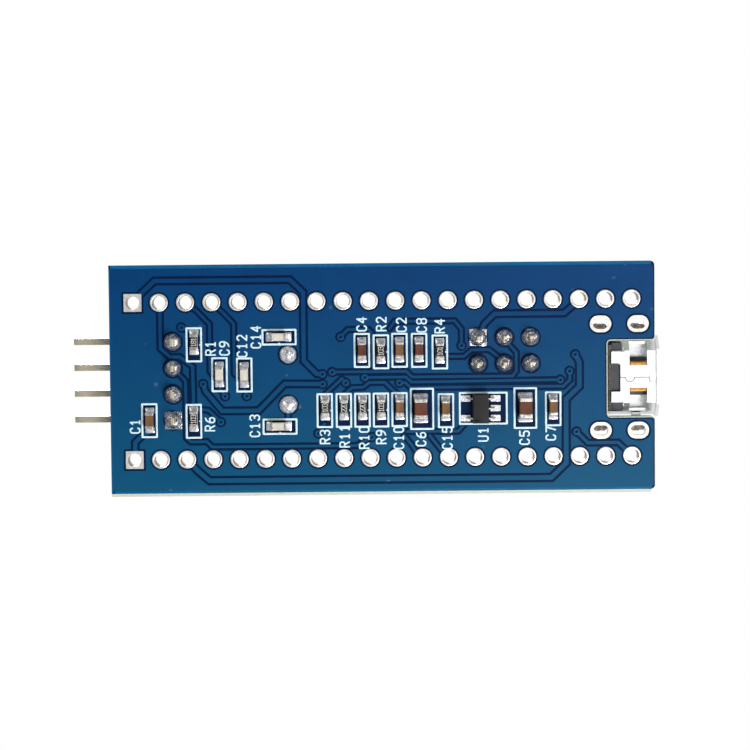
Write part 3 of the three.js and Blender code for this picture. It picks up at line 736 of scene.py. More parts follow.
# Copper under the mask, on the solder side
tracks = [  # width of the copper, then its bends
    (0.4, [(-24.13, -7.62), (-23.3, -8.5), (-22.0, -9.72), (-8.9, -9.72), (-7.63, -8.5), (-7.63, -1.85),
           (-6.4, -0.6), (-5.85, -0.55)]),
    (0.3, [(-21.5, -7.0), (-21.5, -3.2), (-20.6, -2.35), (-19.6, -2.35), (-18.4, -1.4), (-18.35, 2.4)]),
    (0.25, [(-19.05, -7.62), (-17.9, -6.75), (-16.72, -5.5), (-16.72, -0.9), (-16.2, -0.3)]),
    (0.25, [(-16.51, -7.62), (-15.4, -6.6), (-14.38, -5.5), (-14.38, -0.7), (-13.8, -0.1)]),
    (0.25, [(-19.45, -5.2), (-18.4, -4.7)]),
    (0.25, [(-20.3, -1.27), (-19.5, -0.45), (-19.1, 0), (-19.1, 5.5), (-18.65, 5.9), (-17.1, 5.9),
            (-16.6, 6.42), (-2.6, 6.42), (-1.1, 5.6)]),
    (0.4, [(-17.4, 0.3), (-17.2, 1.0), (-15.6, 2.93), (-12.05, 2.93), (-9.5, 0.35), (-5.85, 0.4)]),
    (0.25, [(-15.3, 1.5), (-15.8, 0.7)]),
    (0.25, [(-13.2, 1.5), (-13.4, 0.7)]),
    (0.25, [(-15.75, 4.0), (-16.9, 2.85), (-18.2, 2.7)]),
    (0.4, [(-24.07, 6.8), (-24.07, 5.95), (-23.4, 5.25), (-22.7, 4.9)]),
    (0.45, [(-19.05, 7.62), (-18.0, 8.75), (-16.9, 9.7), (16.3, 9.7), (17.75, 8.3), (17.75, 2.1),
            (19.05, 0.85), (19.05, -1.5), (18.65, -2.25)]),
    (0.25, [(-4.9, -0.75), (2.3, -0.75), (2.85, -0.2), (12.6, -0.2), (12.95, -0.7), (12.95, -2.5),
            (12.4, -3.1), (11.81, -3.96)]),
    (0.25, [(-1.75, -0.2), (2.25, -0.2), (2.8, 0.3), (17.2, 0.2)]),
    (0.25, [(1.6, 0.35), (2.2, 0.35), (2.7, 0.83), (17.5, 0.83), (18.15, 0.2), (18.1, -0.65)]),
    (0.25, [(-5.6, 1.4), (-3.95, -0.1), (-3.6, 0.3)]),
    (0.25, [(-3.8, 1.5), (-3.0, 0.8), (-1.9, 0.75), (-1.3, 0.3), (0.2, 0.3), (0.8, 0.9), (1.5, 1.5)]),
    (0.25, [(-4.05, -4.15), (-3.35, -4.85), (-1.35, -4.85), (-1.0, -4.5), (-1.0, -1.4), (-1.6, -1.15)]),
    (0.25, [(0.7, -4.9), (1.2, -5.6), (7.0, -5.6), (7.65, -4.8), (7.65, -3.2)]),
    (0.4, [(9.3, -4.0), (9.9, -5.3), (10.9, -6.25), (17.6, -6.25), (18.6, -7.1), (19.05, -7.62)]),
    (0.25, [(6.3, -2.15), (7.9, -2.15), (8.6, -2.75), (10.3, -2.8), (11.2, -2.1), (11.81, -1.43)]),
    (0.25, [(8.0, 4.3), (7.3, 5.1), (2.3, 5.1)]),
    (0.25, [(2.0, 5.45), (2.75, 6.4), (3.2, 7.1)]),
    (0.25, [(4.5, 5.5), (5.6, 6.9)]),
    (0.3, [(18.75, 5.25), (19.85, 6.35), (22.8, 6.35), (24.13, 7.62)]),
    (0.25, [(-6.3, 5.2), (-5.7, 4.3)]),
    (0.3, [(-9.2, -2.5), (-9.2, -4.1)]),
    (0.3, [(-9.2, 2.4), (-9.2, 4.4)]),
]
viaPlaces = [
    (-5.85, -0.55), (-16.2, -0.3), (-13.8, -0.1), (-19.45, -5.2), (-17.4, 0.3), (-5.85, 0.4), (-15.3, 1.5),
    (-13.2, 1.5), (-15.75, 4.0), (18.65, -2.25), (17.2, 0.2), (18.1, -0.65), (-3.6, 0.3), (-1.75, -0.2),
    (-4.05, -4.15), (7.65, -3.2), (18.75, 5.25), (-6.3, 5.2), (-1.1, 5.6), (-4.9, -0.75), (1.6, 0.35),
]
copper = {"height": 0.05, "gap": 0.24, "inset": 0.36, "via": 0.34, "viaHole": 0.13, "padGap": 0.17}
# Where the printed frames stand round the small parts that lie across the board, by the parts' numbers.
partFrames = {
    "R1": (-18.25, -3.52), "R6": (-18.35, 3.9), "C9": (-15.8, -0.6), "C12": (-13.4, -0.55),
    "C1": (-22.65, 3.8),
    "C4": (-2.0, -2.82), "R2": (-0.15, -2.67), "C2": (1.65, -2.8), "C8": (3.55, -2.78), "R4": (5.55, -2.6),
    "R3": (-5.65, 2.98), "R11": (-3.8, 2.98), "R10": (-2.0, 2.98), "R9": (-0.2, 2.98), "C10": (1.6, 2.95),
    "C15": (6.1, 3.1), "C7": (16.5, 3.02),
}
frameSizes = {name: (*place, 1.6, 3.4) for name, place in partFrames.items()}
# The other frames: centre, width and length.
frameSizes.update({
    "C14": (-10.0, -4.18, 3.4, 1.6), "C13": (-10.0, 4.5, 3.4, 1.6), "C6": (3.78, 2.9, 2.35, 4.1),
    "C5": (13.8, 2.92, 2.3, 4.05), "U1": (9.72, 2.9, 4.75, 3.2),
})


def discs(places, radius, low, high, sides=28):
    return prisms("discs", [circle(x, y, radius, sides) for x, y in places], low, high)


def trackPiece(name, width, line, low, high):
    return prisms(name, [ribbon(line, width)], low, high, "maskOnCopper")


# A flood of copper with a channel round every track, via and pad that isn't part of it.
def pourPiece(name, lines, vias, keepouts, low, high):
    reach, gap, padGap = (low - 1, high + 1), copper["gap"], copper["padGap"]
    pour = prisms(name, [boardOutline(0.14, copper["inset"], 0.2, 0.22)], low, high, "maskOnCopper")
    cutters = [trackPiece("channel", width + 2 * gap, line, *reach) for width, line in lines]
    cutters.append(discs(roundPlaces, laminate["pad"] + padGap, *reach, 40))
    cutters.append(discs(debugPlaces + bootPlaces, laminate["pinPad"] + padGap, *reach, 32))
    cutters.append(discs(crystalPlaces, 0.85 + padGap, *reach, 32))
    cutters += [discs([via], copper["via"] + 0.18, *reach) for via in vias]
    square = 2 * laminate["pad"] + 0.4
    boxes = [rectangle(x, y, square, square, 0.1) for x, y in squarePlaces]
    boxes += slotOutlines(laminate["slotPadLength"] + 0.4, laminate["slotPadWidth"] + 0.4)
    cutters.append(prisms("clearances", boxes, *reach))
    for x, y, width, length in keepouts:
        cutters.append(prisms("keepout", [rectangle(x, y, width - 0.35, length - 0.35, 0.15)], *reach))
    return carve(pour, cutters)


def coppered(side, lines, vias, keepouts):
    low, high = (-copper["height"], 0.005) if side == "solder" else (top - 0.005, top + copper["height"])
    pour = pourPiece(f"{side}_side_pour", lines, vias, keepouts, low, high)
    settle(bevelled(pour, 0.012, 1, 60))
    first, *others = [trackPiece(f"{side}_side_tracks", width, line, low, high) for width, line in lines]
    merged = carve(first, others, "UNION")
    drills = discs(vias, copper["viaHole"], low - 1, high + 1, 16)
    carve(merged, [holeCutters(low - 1, high + 1, 0.1), drills])
    settle(bevelled(merged, 0.03, 1, 60))
    middle = low if side == "solder" else high
    rings = wired(f"{side}_side_vias", [(x, y, middle) for x, y in vias])
    grown(rings, platedRings, "maskOnCopper", HoleRadius=copper["viaHole"], PadRadius=copper["via"],
          Depth=0.06, Rounding=0.025, Sides=24)
    settle(rings)


# Bands of lighter mask along the board's edges, over margins where no copper backs the laminate: a painted
# glow of light along the edges.
def edgeGlowBands():
    bands = newShape()
    left, right, high = board["left"], board["right"], board["halfWidth"]
    skin, wide, end = 2 * laminate["skin"], laminate["edgeBand"], laminate["endBand"]
    for low, far in ((-skin, 0), (top, top + skin)):
        addPrism(bands, [(left, -high), (right - 0.35, -high), (right - 0.35, wide - high),
                         (left, wide - high)], low, far)
        addPrism(bands, [(left, -high), (left + end, -high), (left + end, high - 0.4), (left, high - 0.4)],
                 low, far)
        addPrism(bands, rectangle((left + right) / 2, high - 0.48, right - left - 0.6, 0.26), low, far)
    settle(toObject(bands, "board_edge_glow", "maskAtEdge"), smooth=0)


buildLaminate()
coppered("solder", tracks, viaPlaces, list(frameSizes.values()))
edgeGlowBands()
print("laminate and solder side copper made")


# Plating
def buildPlating():
    hole, pad, rise = laminate["hole"], laminate["pad"], laminate["padRise"]
    rings = wired("row_pads", [(x, y, top / 2) for x, y in roundPlaces])
    grown(rings, platedRings, "tinnedPad", HoleRadius=hole - 0.035, PadRadius=pad, Depth=top + 0.12,
          Rounding=0.03, Sides=48)
    settle(rings)
    barrels = wired("row_barrels", [(x, y, top / 2) for x, y in rowPlaces])
    grown(barrels, platedRings, "barrelPlating", HoleRadius=hole - 0.06, PadRadius=hole + 0.01,
          Depth=top - 0.06, Rounding=0.02, Sides=48)
    settle(barrels)
    outlines = [rectangle(x, y, 2 * pad, 2 * pad, 0.05, 2) for x, y in squarePlaces]
    squares = prisms("first_pads", outlines, -rise, top + rise, "tinnedPad")
    carve(squares, [discs(squarePlaces, hole - 0.035, below, above, 48)])
    settle(bevelled(squares, 0.03))
    outer = slotOutlines(laminate["slotPadLength"], laminate["slotPadWidth"], 12)
    inner = slotOutlines(laminate["slotLength"] - 0.07, laminate["slotWidth"] - 0.07, 12)
    slots = prisms("socket_slot_pads", outer, -rise, top + rise, "tinnedPad")
    carve(slots, [prisms("inner", inner, below, above)])
    settle(bevelled(slots, 0.04))


buildPlating()

# White print
letterStrokes = {  # on a grid 2 wide and 3 high
    "0": [[(0, .5), (0, 2.5), (.5, 3), (1.5, 3), (2, 2.5), (2, .5), (1.5, 0), (.5, 0), (0, .5)]],
    "1": [[(.3, 2.3), (1, 3), (1, 0)], [(.4, 0), (1.6, 0)]],
    "2": [[(0, 2.5), (.5, 3), (1.5, 3), (2, 2.5), (2, 1.8), (0, 0), (2, 0)]],
    "3": [[(0, 2.6), (.5, 3), (1.5, 3), (2, 2.5), (2, 2), (1.5, 1.55), (.8, 1.55)],
          [(1.5, 1.55), (2, 1.1), (2, .5), (1.5, 0), (.5, 0), (0, .4)]],
    "4": [[(1.5, 0), (1.5, 3), (0, 1), (2, 1)]],
    "5": [[(2, 3), (.2, 3), (0, 1.7), (1.4, 1.8), (2, 1.3), (2, .5), (1.5, 0), (.5, 0), (0, .4)]],
    "6": [[(1.8, 2.9), (.8, 2.6), (0, 1.5), (0, .5), (.5, 0), (1.5, 0), (2, .5), (2, 1.2), (1.5, 1.6),
           (.1, 1.4)]],
    "7": [[(0, 3), (2, 3), (.8, 0)]],
    "8": [[(.5, 1.6), (0, 2), (0, 2.6), (.5, 3), (1.5, 3), (2, 2.6), (2, 2), (1.5, 1.6), (.5, 1.6), (0, 1.1),
           (0, .4), (.5, 0), (1.5, 0), (2, .4), (2, 1.1), (1.5, 1.6)]],
    "9": [[(.2, .1), (1.2, .4), (2, 1.5), (2, 2.5), (1.5, 3), (.5, 3), (0, 2.5), (0, 1.8), (.5, 1.4),
           (1.9, 1.6)]],
    "C": [[(2, 2.4), (1.5, 3), (.5, 3), (0, 2.5), (0, .5), (.5, 0), (1.5, 0), (2, .6)]],
    "R": [[(0, 0), (0, 3), (1.5, 3), (2, 2.6), (2, 1.9), (1.5, 1.5), (0, 1.5)], [(1, 1.5), (2, 0)]],
    "U": [[(0, 3), (0, .5), (.5, 0), (1.5, 0), (2, .5), (2, 3)]],
}
letterSlimness = 0.78


# Strokes of a short text. across and upwards are its reading and standing directions.
def lettered(text, centre, height, advance, across, upwards, z):
    unit = height / 3
    strokes = []
    for i, letter in enumerate(text):
        shift = (i - (len(text) - 1) / 2) * advance
        for stroke in letterStrokes[letter]:
            steps = [(shift + (gx - 1) * unit * letterSlimness, (gy - 1.5) * unit) for gx, gy in stroke]
            strokes.append([(centre[0] + a * across[0] + b * upwards[0],
                             centre[1] + a * across[1] + b * upwards[1], z) for a, b in steps])
    return strokes


def framed(x, y, width, length, z):
    corners = rectangle(x, y, width - 0.2, length - 0.2)
    return [(*corner, z) for corner in corners + corners[:1]]


# A piece of print from lines, in one finish.
def printed(name, lines, width, ink=0.03, finishName="whitePrint"):
    drawn = linesAt(name, lines)
    grown(drawn, printedLines, finishName, LineWidth=width, InkHeight=ink)
    settle(drawn)


labelPlaces = {
    "C1": (-24.05, 4.35), "R6": (-16.8, 4.2), "R1": (-16.65, -3.15), "C9": (-15.3, -3.15),
    "C12": (-13.6, -3.35), "C14": (-12.25, -4.2), "C13": (-12.45, 4.4), "C4": (-2.0, -5.35),
    "R2": (-0.1, -5.35), "C2": (1.85, -5.25), "C8": (3.8, -5.2), "R4": (5.55, -5.1), "R3": (-5.65, 5.55),
    "R11": (-3.75, 5.5), "R10": (-1.85, 5.65), "R9": (-0.2, 5.6), "C10": (1.5, 5.7), "C6": (3.65, 5.85),
    "C15": (6.2, 5.75), "U1": (9.7, 5.45), "C5": (13.7, 5.8), "C7": (16.25, 5.4),
}
solderPrint = {"z": -0.06, "line": 0.185, "capHeight": 0.9, "advance": 0.79, "stroke": 0.15}


def printSolderSide():
    z = solderPrint["z"]
    frames = [framed(*size, z) for size in frameSizes.values()]
    # A short tick marks the middle of a resistor's frame and of the two load capacitors' frames.
    frames += [[(x + 0.72, y, z), (x + 0.6, y, z)] for name, (x, y) in partFrames.items() if name[0] == "R"]
    for name in ("C14", "C13"):
        x, y = frameSizes[name][:2]
        frames.append([(x, y + 0.72, z), (x, y + 0.6, z)])
    printed("part_frames", frames, solderPrint["line"])
    strokes = []
    for text, place in labelPlaces.items():
        strokes += lettered(text, place, solderPrint["capHeight"], solderPrint["advance"], (0, -1), (-1, 0),
                            z)
    printed("part_numbers", strokes, solderPrint["stroke"])


printSolderSide()
print("plating and print made")


# Chip parts
# A part's own frame has its length along the first axis and its height along the third, off the board.
chipLook = {
    "capLap": 0.32, "bigCapLap": 0.42, "padReach": 0.43, "climb": 0.42, "padRise": 0.05, "seat": 0.02,
    "bevel": 0.09, "glazeRise": 0.004, "figureHeight": 0.48, "figureAdvance": 0.29, "figureLine": 0.05,
}


def chipPlacer(node):
    low, high = span(node)
    middle, size = (low + high) / 2, high - low
    side = -1 if middle.z < 0 else 1
    face = 0 if side < 0 else top
    along = "x" if size.x > size.y else "y"
    length, width = (size.x, size.y) if along == "x" else (size.y, size.x)

    def place(point):
        a, b, c = point
        x, y = (a, b) if along == "x" else (b, a)
        return (middle.x + x, middle.y + y, face + side * c)

    return place, length / 2, width / 2, size.z


# A solder fillet on its pad: a closed mound that climbs the part's metal end in a hollow curve.
def addFillet(shape, place, direction, end, halfWidth, height):
    rows, columns = 9, 8
    reach, base = chipLook["padReach"], chipLook["padRise"]
    climb = min(height * chipLook["climb"], 0.55)
    wide = halfWidth * 1.12
    points = []
    for i in range(rows + 1):
        t = i / rows
        out = -0.12 + (reach + 0.12) * t
        for j in range(columns + 1):
            s = 2 * j / columns - 1
            fade = max(1 - max(out, 0) / reach, 0) ** 2.1
            crown = (1 - abs(s) ** 3) ** 0.6
            corner = 1 - 0.12 * max(t - 0.75, 0) / 0.25 * abs(s) ** 4
            lump = 0.03 * noise.noise(Vector((end * 9 + out * 4, s * 3, height * 7 + direction)))
            rise = base + (climb * fade + 0.04 * (1 - t * t)) * crown + lump * crown * (1 - t)
            points.append((direction * (end + out), s * wide * corner, rise))
    topCount = len(points)
    points += [(a, b, 0.0) for a, b, c in points]
    line = columns + 1
    faces = []
    for a in (i * line + j for i in range(rows) for j in range(columns)):
        faces.append([a, a + 1, a + line + 1, a + line])
        faces.append([topCount + v for v in (a, a + line, a + line + 1, a + 1)])
    rim = list(range(columns)) + [i * line + columns for i in range(rows)]
    rim += [rows * line + j for j in range(columns, 0, -1)] + [i * line for i in range(rows, 0, -1)]
    faces += [[v, w, topCount + w, topCount + v] for v, w in zip(rim, rim[1:] + rim[:1])]
    addFaces(shape, [place(p) for p in points], faces)


# Makes one chip, and adds its two solder fillets to a shape that all chips share.
def chipPiece(node, bodyFinish, fillets):
    place, half, wide, height = chipPlacer(node)
    lap = chipLook["bigCapLap"] if half > 0.9 else chipLook["capLap"]
    seat = chipLook["seat"]
    shape = newShape()
    addBlock(shape, (-half + lap * 0.6, -wide + 0.025, seat + 0.03),
             (half - lap * 0.6, wide - 0.025, seat + height - 0.03), 0, place)
    for direction in (-1, 1):
        ends = sorted((direction * (half - lap), direction * half))
        addBlock(shape, (ends[0], -wide, seat), (ends[1], wide, seat + height), 1, place)
        addFillet(fillets, place, direction, half, wide, height)
    chip = toObject(shape, f"{node}_part", bodyFinish, "chipEnd", "resistorGlaze")
    settle(bevelled(chip, chipLook["bevel"], 3), replaces=[node])
    return place, half - lap, wide, seat + height


resistorValues = {
    "r1": "181", "r6": "103", "r2": "103", "r4": "101", "r3": "103", "r11": "220", "r10": "220", "r9": "103",
    "r5": "152", "r7": "511", "r8": "511",
}
ceramicKinds = {
    "c1": "tan", "c2": "tan", "c10": "tan", "c15": "tan", "c7": "tan", "c3": "tan", "c11": "tan",
    "c4": "brown", "c8": "brown", "c5": "brown", "c6": "brown", "c9": "pale", "c12": "pale", "c13": "pale",
    "c14": "pale",
}


def buildChips():
    fillets, glaze, figures = newShape(), newShape(), []
    for name, value in resistorValues.items():
        place, half, wide, high = chipPiece(f"resistor_{name}", "alumina", fillets)
        face = high + chipLook["glazeRise"]
        addBlock(glaze, (-half, -wide + 0.03, high - 0.05), (half, wide - 0.03, face), 0, place)
        # Turned over on the solder side, so that the figures read true from below.
        onSolder = place((0, 0, 1))[2] < 0
        lengthwise = place((1, 0, 0))[0] != place((0, 0, 0))[0]
        across = (-1 if onSolder and not lengthwise else 1, 0)
        upwards = (0, 1 if onSolder and lengthwise else -1)
        strokes = lettered(value, (0, 0), chipLook["figureHeight"], chipLook["figureAdvance"], across,
                           upwards, face)
        figures += [[place(p) for p in stroke] for stroke in strokes]
    settle(bevelled(toObject(glaze, "resistor_glazes", "resistorGlaze"), 0.03, 2))
    printed("resistor_values", figures, chipLook["figureLine"], 0.012, "valuePrint")
    for name, kind in ceramicKinds.items():
        chipPiece(f"capacitor_{name}", f"{kind}Ceramic", fillets)
    settle(toObject(fillets, "chip_solder", "brightSolder"), smooth=60)


# Surface LEDs: a base with wrapped ends, and a clear domed block over the die's cup.
def buildLeds():
    for node, lens, slot in (("power_led", "redLens", "red_lens"), ("status_led", "greenLens", "green_lens")):
        low, high = span(node)
        shape = newShape()
        addBlock(shape, low, (high.x, high.y, low.z + 0.26), 0)
        addBlock(shape, (low.x, low.y, low.z - 0.01), (high.x, low.y + 0.3, low.z + 0.29), 1)
        addBlock(shape, (low.x, high.y - 0.3, low.z - 0.01), (high.x, high.y, low.z + 0.29), 1)
        addBlock(shape, (low.x + 0.02, low.y + 0.25, low.z + 0.24), (high.x - 0.02, high.y - 0.25, high.z), 2)
        led = toObject(shape, f"{node}_part", "whitePlastic", "chipEnd", lens)
        settle(bevelled(led, 0.06, 3), replaces=[node])
        pads, place = newShape(), chipPlacer(node)[0]
        for direction in (-1, 1):
            addFillet(pads, place, direction, (high.y - low.y) / 2, (high.x - low.x) / 2, 0.4)
        settle(toObject(pads, f"{node}_solder", "brightSolder"), smooth=60)


buildChips()
buildLeds()
print("chips made")


# Solder joints of the pins and the crystal
def buildJoints():
    plain = {"Radius": 0.83, "Neck": 0.4, "Height": 1.0, "Bulge": 0.16, "Lumps": 0.22, "LumpSize": 2.9}
    low = {**plain, "Radius": 0.86, "Neck": 0.34, "Height": 0.78, "Bulge": 0.1}
    for name, places, finishName, look, seed in (
        ("debug_joints", debugPlaces, "solder", plain, 4),
        ("boot_joints", bootPlaces, "solder", {**plain, "Lumps": 0.26}, 9),
        ("crystal_joints", crystalPlaces, "brightSolder", low, 2),
    ):
        joints = wired(name, [(x, y, 0) for x, y in places])
        grown(joints, solderJoints, finishName, Seed=seed, **look)
        joints.data.transform(Matrix.Scale(-1, 4, (0, 0, 1)))
        joints.data.flip_normals()
        settle(joints, smooth=60)
    outlines = [rectangle(x, y, 1.72, 1.72, 0.12) for x, y in (debugPlaces[-1], bootPlaces[0])]
    squares = prisms("first_joint_pads", outlines, -0.16, 0, "solder")
    settle(bevelled(squares, 0.08, 3))
    # The same pins' smaller fillets on the component side.
    for name, places in (("debug_fillets", debugPlaces), ("boot_fillets", bootPlaces)):
        fillets = wired(name, [(x, y, top) for x, y in places])
        grown(fillets, solderJoints, "solder", Radius=0.8, Neck=0.42, Height=0.2, Bulge=0.0, Lumps=0.05,
              LumpSize=3.0, Seed=5)
        settle(fillets, smooth=60)


buildJoints()


# Pieces whose shape is the design's own, with softened edges
# A merged copy of a node, perhaps carved, with its edges rounded.
def polished(node, name, material, width=0.05, segments=2, body="board", smooth=35, cutters=()):
    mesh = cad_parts[node].data.copy()
    mesh.transform(frameToBoard)
    work = bmesh.new()
    work.from_mesh(mesh)
    bmesh.ops.remove_doubles(work, verts=work.verts, dist=0.001)
    bmesh.ops.dissolve_limit(work, angle_limit=math.radians(1), verts=work.verts, edges=work.edges)
    work.to_mesh(mesh)
    work.free()
    mesh.materials.clear()
    mesh.materials.append(finishes[material])
    mesh.polygons.foreach_set("material_index", [0] * len(mesh.polygons))
    thing = linked(name, mesh)
    if cutters:
        carve(thing, cutters)
    return settle(bevelled(thing, width, segments), body, [node], smooth)


# Boxes given by their lowest and highest corners, as one object.
def boxes(name, corners, *finishNames):
    shape = newShape()
    for low, high in corners:
        addBlock(shape, low, high)
    return toObject(shape, name, *finishNames)


def buildHeaders():
    for i in range(4):
        polished(f"debug_pin_{i + 1}", f"debug_pin_{i + 1}_plated", "pinPlating", 0.04)
    for i in range(6):
        polished(f"boot_pin_{i + 1}", f"boot_pin_{i + 1}_plated", "pinPlating", 0.04)
    for node in ("debug_header_strip", "boot_header_strip"):
        polished(node, f"{node}_moulded", "moulding", 0.06)
    for cap in ("boot0", "boot1"):
        node = f"jumper_cap_{cap}"
        low, high = span(node)
        middle, grip = (low + high) / 2, 0.12
        cutters = [
            boxes("groove", [((side - grip, low.y - 1, z - grip), (side + grip, high.y + 1, z + grip))])
            for side in (low.x, high.x) for z in (high.z - 1.1, high.z - 1.75, high.z - 2.4)
        ]
        # Two round windows over the pins' ends.
        windows = [circle(middle.x + side * pitch / 2, middle.y, 0.5, 20) for side in (-1, 1)]
        cutters.append(prisms("windows", windows, high.z - 1.5, high.z + 1))
        polished(node, f"{node}_moulded", "yellowPlastic", 0.08, 3, f"jumper_{cap}",
                 cutters=cutters)
        polished(f"jumper_clip_{cap}", f"jumper_clip_{cap}_formed", "contactGold", 0.03, 2,
                 f"jumper_{cap}")


def buildButton():
    node = "reset_button_housing"
    polished(node, f"{node}_moulded", "moulding", 0.05)
    polished("reset_button_plunger", "reset_button_cap", "whitePlastic", 0.16, 4,
             "reset_plunger")
    low, high = span(node)
    middle, half = (low + high) / 2, 3.0
    plate = rectangle(middle.x, middle.y, 2 * half - 0.16, high.y - low.y - 0.16, 0.3)
    cover = prisms("reset_button_cover", [plate], high.z - 0.05, high.z + 0.16, "steel")
    well = rectangle(middle.x, middle.y, 3.3, 1.9, 0.6, 6)
    carve(cover, [prisms("well", [well], high.z - 1, high.z + 1)])
    settle(bevelled(cover, 0.05))
    stakes = [circle(middle.x + sx * (half - 0.55), middle.y + sy * 1.2, 0.26, 20)
              for sx in (-1, 1) for sy in (-1, 1)]
    stakes = prisms("reset_button_stakes", stakes, high.z + 0.1, high.z + 0.26, "moulding")
    settle(bevelled(stakes, 0.06, 3))


# A comb of leads grown from one lead's line, then moved to its package.
def leadPiece(name, line, finishName, shift, turn=0.0, **look):
    comb = linesAt(name, [line])
    grown(comb, leadComb, finishName, **look)
    comb.data.transform(Matrix.Translation(shift) @ Matrix.Rotation(turn, 4, "Z"))
    settle(comb)


def buildCrystals():
    polished("crystal_base", "crystal_base_plated", "brightSolder", 0.08, 3, smooth=40)
    polished("crystal_can", "crystal_can_drawn", "steel", 0.42, 5, smooth=40)
    polished("clock_crystal", "clock_crystal_moulded", "moulding", 0.07, 3)
    low, high = span("clock_crystal")
    line = [(1.3, 0, top + 0.92), (1.74, 0, top + 0.92), (1.78, 0, top + 0.1), (2.0, 0, top + 0.1)]
    leadPiece("clock_crystal_leads", line, "tinnedPad", ((low.x + high.x) / 2, 0, 0), Leads=2, Pitch=5.5,
              Width=0.52, Thickness=0.17, Bend=0.08, Sides=2, Turn=math.pi)


# Moulded packages with fine leads
# A package that tapers above and below its parting line, with a pin-one dimple in its face.
def mouldedBody(node, halfX, halfY, low, high, draft, dimple, turn=0.0, flip=False):
    start, end = span(node)
    middle, centre = (low + high) / 2, (start + end) / 2
    points = [(sx * (halfX - d), sy * (halfY - d), z) for z, d in ((low, draft), (middle, 0), (high, draft))
              for sx, sy in ((-1, -1), (1, -1), (1, 1), (-1, 1))]
    faces = [[3, 2, 1, 0], [8, 9, 10, 11]]
    faces += [[r * 4 + i, r * 4 + (i + 1) % 4, r * 4 + 4 + (i + 1) % 4, r * 4 + 4 + i]
              for r in (0, 1) for i in range(4)]
    shape = newShape()
    addFaces(shape, points, faces)
    body = toObject(shape, f"{node}_body", "moulding")
    x, y, radius = dimple
    carve(body, [prisms("dip", [circle(x, y, radius, 24)], high - 0.05, high + 1)])
    applied(bevelled(body, 0.05, 2, 20))
    flipped = Matrix.Rotation(math.pi, 4, "X") if flip else Matrix.Identity(4)
    seated = Matrix.Translation((centre.x, centre.y, 0 if flip else top))
    body.data.transform(seated @ Matrix.Rotation(turn, 4, "Z") @ flipped)
    settle(body, replaces=[node])
    return centre


def buildPackages():
    turn = math.pi / 4
    centre = mouldedBody("microcontroller", 3.5, 3.5, 0.12, 1.52, 0.12, (-2.55, -2.55, 0.42), turn)
    line = [(3.3, 0, 0.82), (3.82, 0, 0.82), (3.98, 0, 0.09), (4.5, 0, 0.09)]
    leadPiece("microcontroller_leads", line, "chipEnd", (centre.x, centre.y, top), turn, Leads=12, Pitch=0.5,
              Width=0.22, Thickness=0.14, Bend=0.08, Sides=4, Turn=math.pi / 2)
    pads = newShape()
    for side in range(4):
        spin = Matrix.Rotation(turn + side * math.pi / 2, 4, "Z")
        for i in range(12):
            corners = rectangle(4.35, (i - 5.5) * 0.5, 0.9, 0.28, 0.05, 2)
            turned = [spin @ Vector((*c, 0)) for c in corners]
            addPrism(pads, [(centre.x + c.x, centre.y + c.y) for c in turned], top - 0.01, top + 0.07)
    settle(toObject(pads, "microcontroller_pads", "brightSolder"))
    centre = mouldedBody("voltage_regulator", 0.8, 1.45, 0.08, 1.18, 0.09, (-0.5, -1.1, 0.12), flip=True)
    line = [(0.6, 0, -0.62), (1.03, 0, -0.62), (1.14, 0, -0.09), (1.42, 0, -0.09)]
    for name, leads, gap, turn in (("a", 3, 0.95, 0.0), ("b", 2, 1.9, math.pi)):
        leadPiece(f"voltage_regulator_leads_{name}", line, "chipEnd", (centre.x, centre.y, 0), turn,
                  Leads=leads, Pitch=gap, Width=0.4, Thickness=0.14, Bend=0.09, Sides=1)
    places = [(1.45, y) for y in (-0.95, 0, 0.95)] + [(-1.45, y) for y in (-0.95, 0.95)]
    outlines = [rectangle(centre.x + x, centre.y + y, 1.0, 0.62, 0.1) for x, y in places]
    pads = prisms("voltage_regulator_pads", outlines, -0.07, 0.0, "brightSolder")
    settle(bevelled(pads, 0.03))


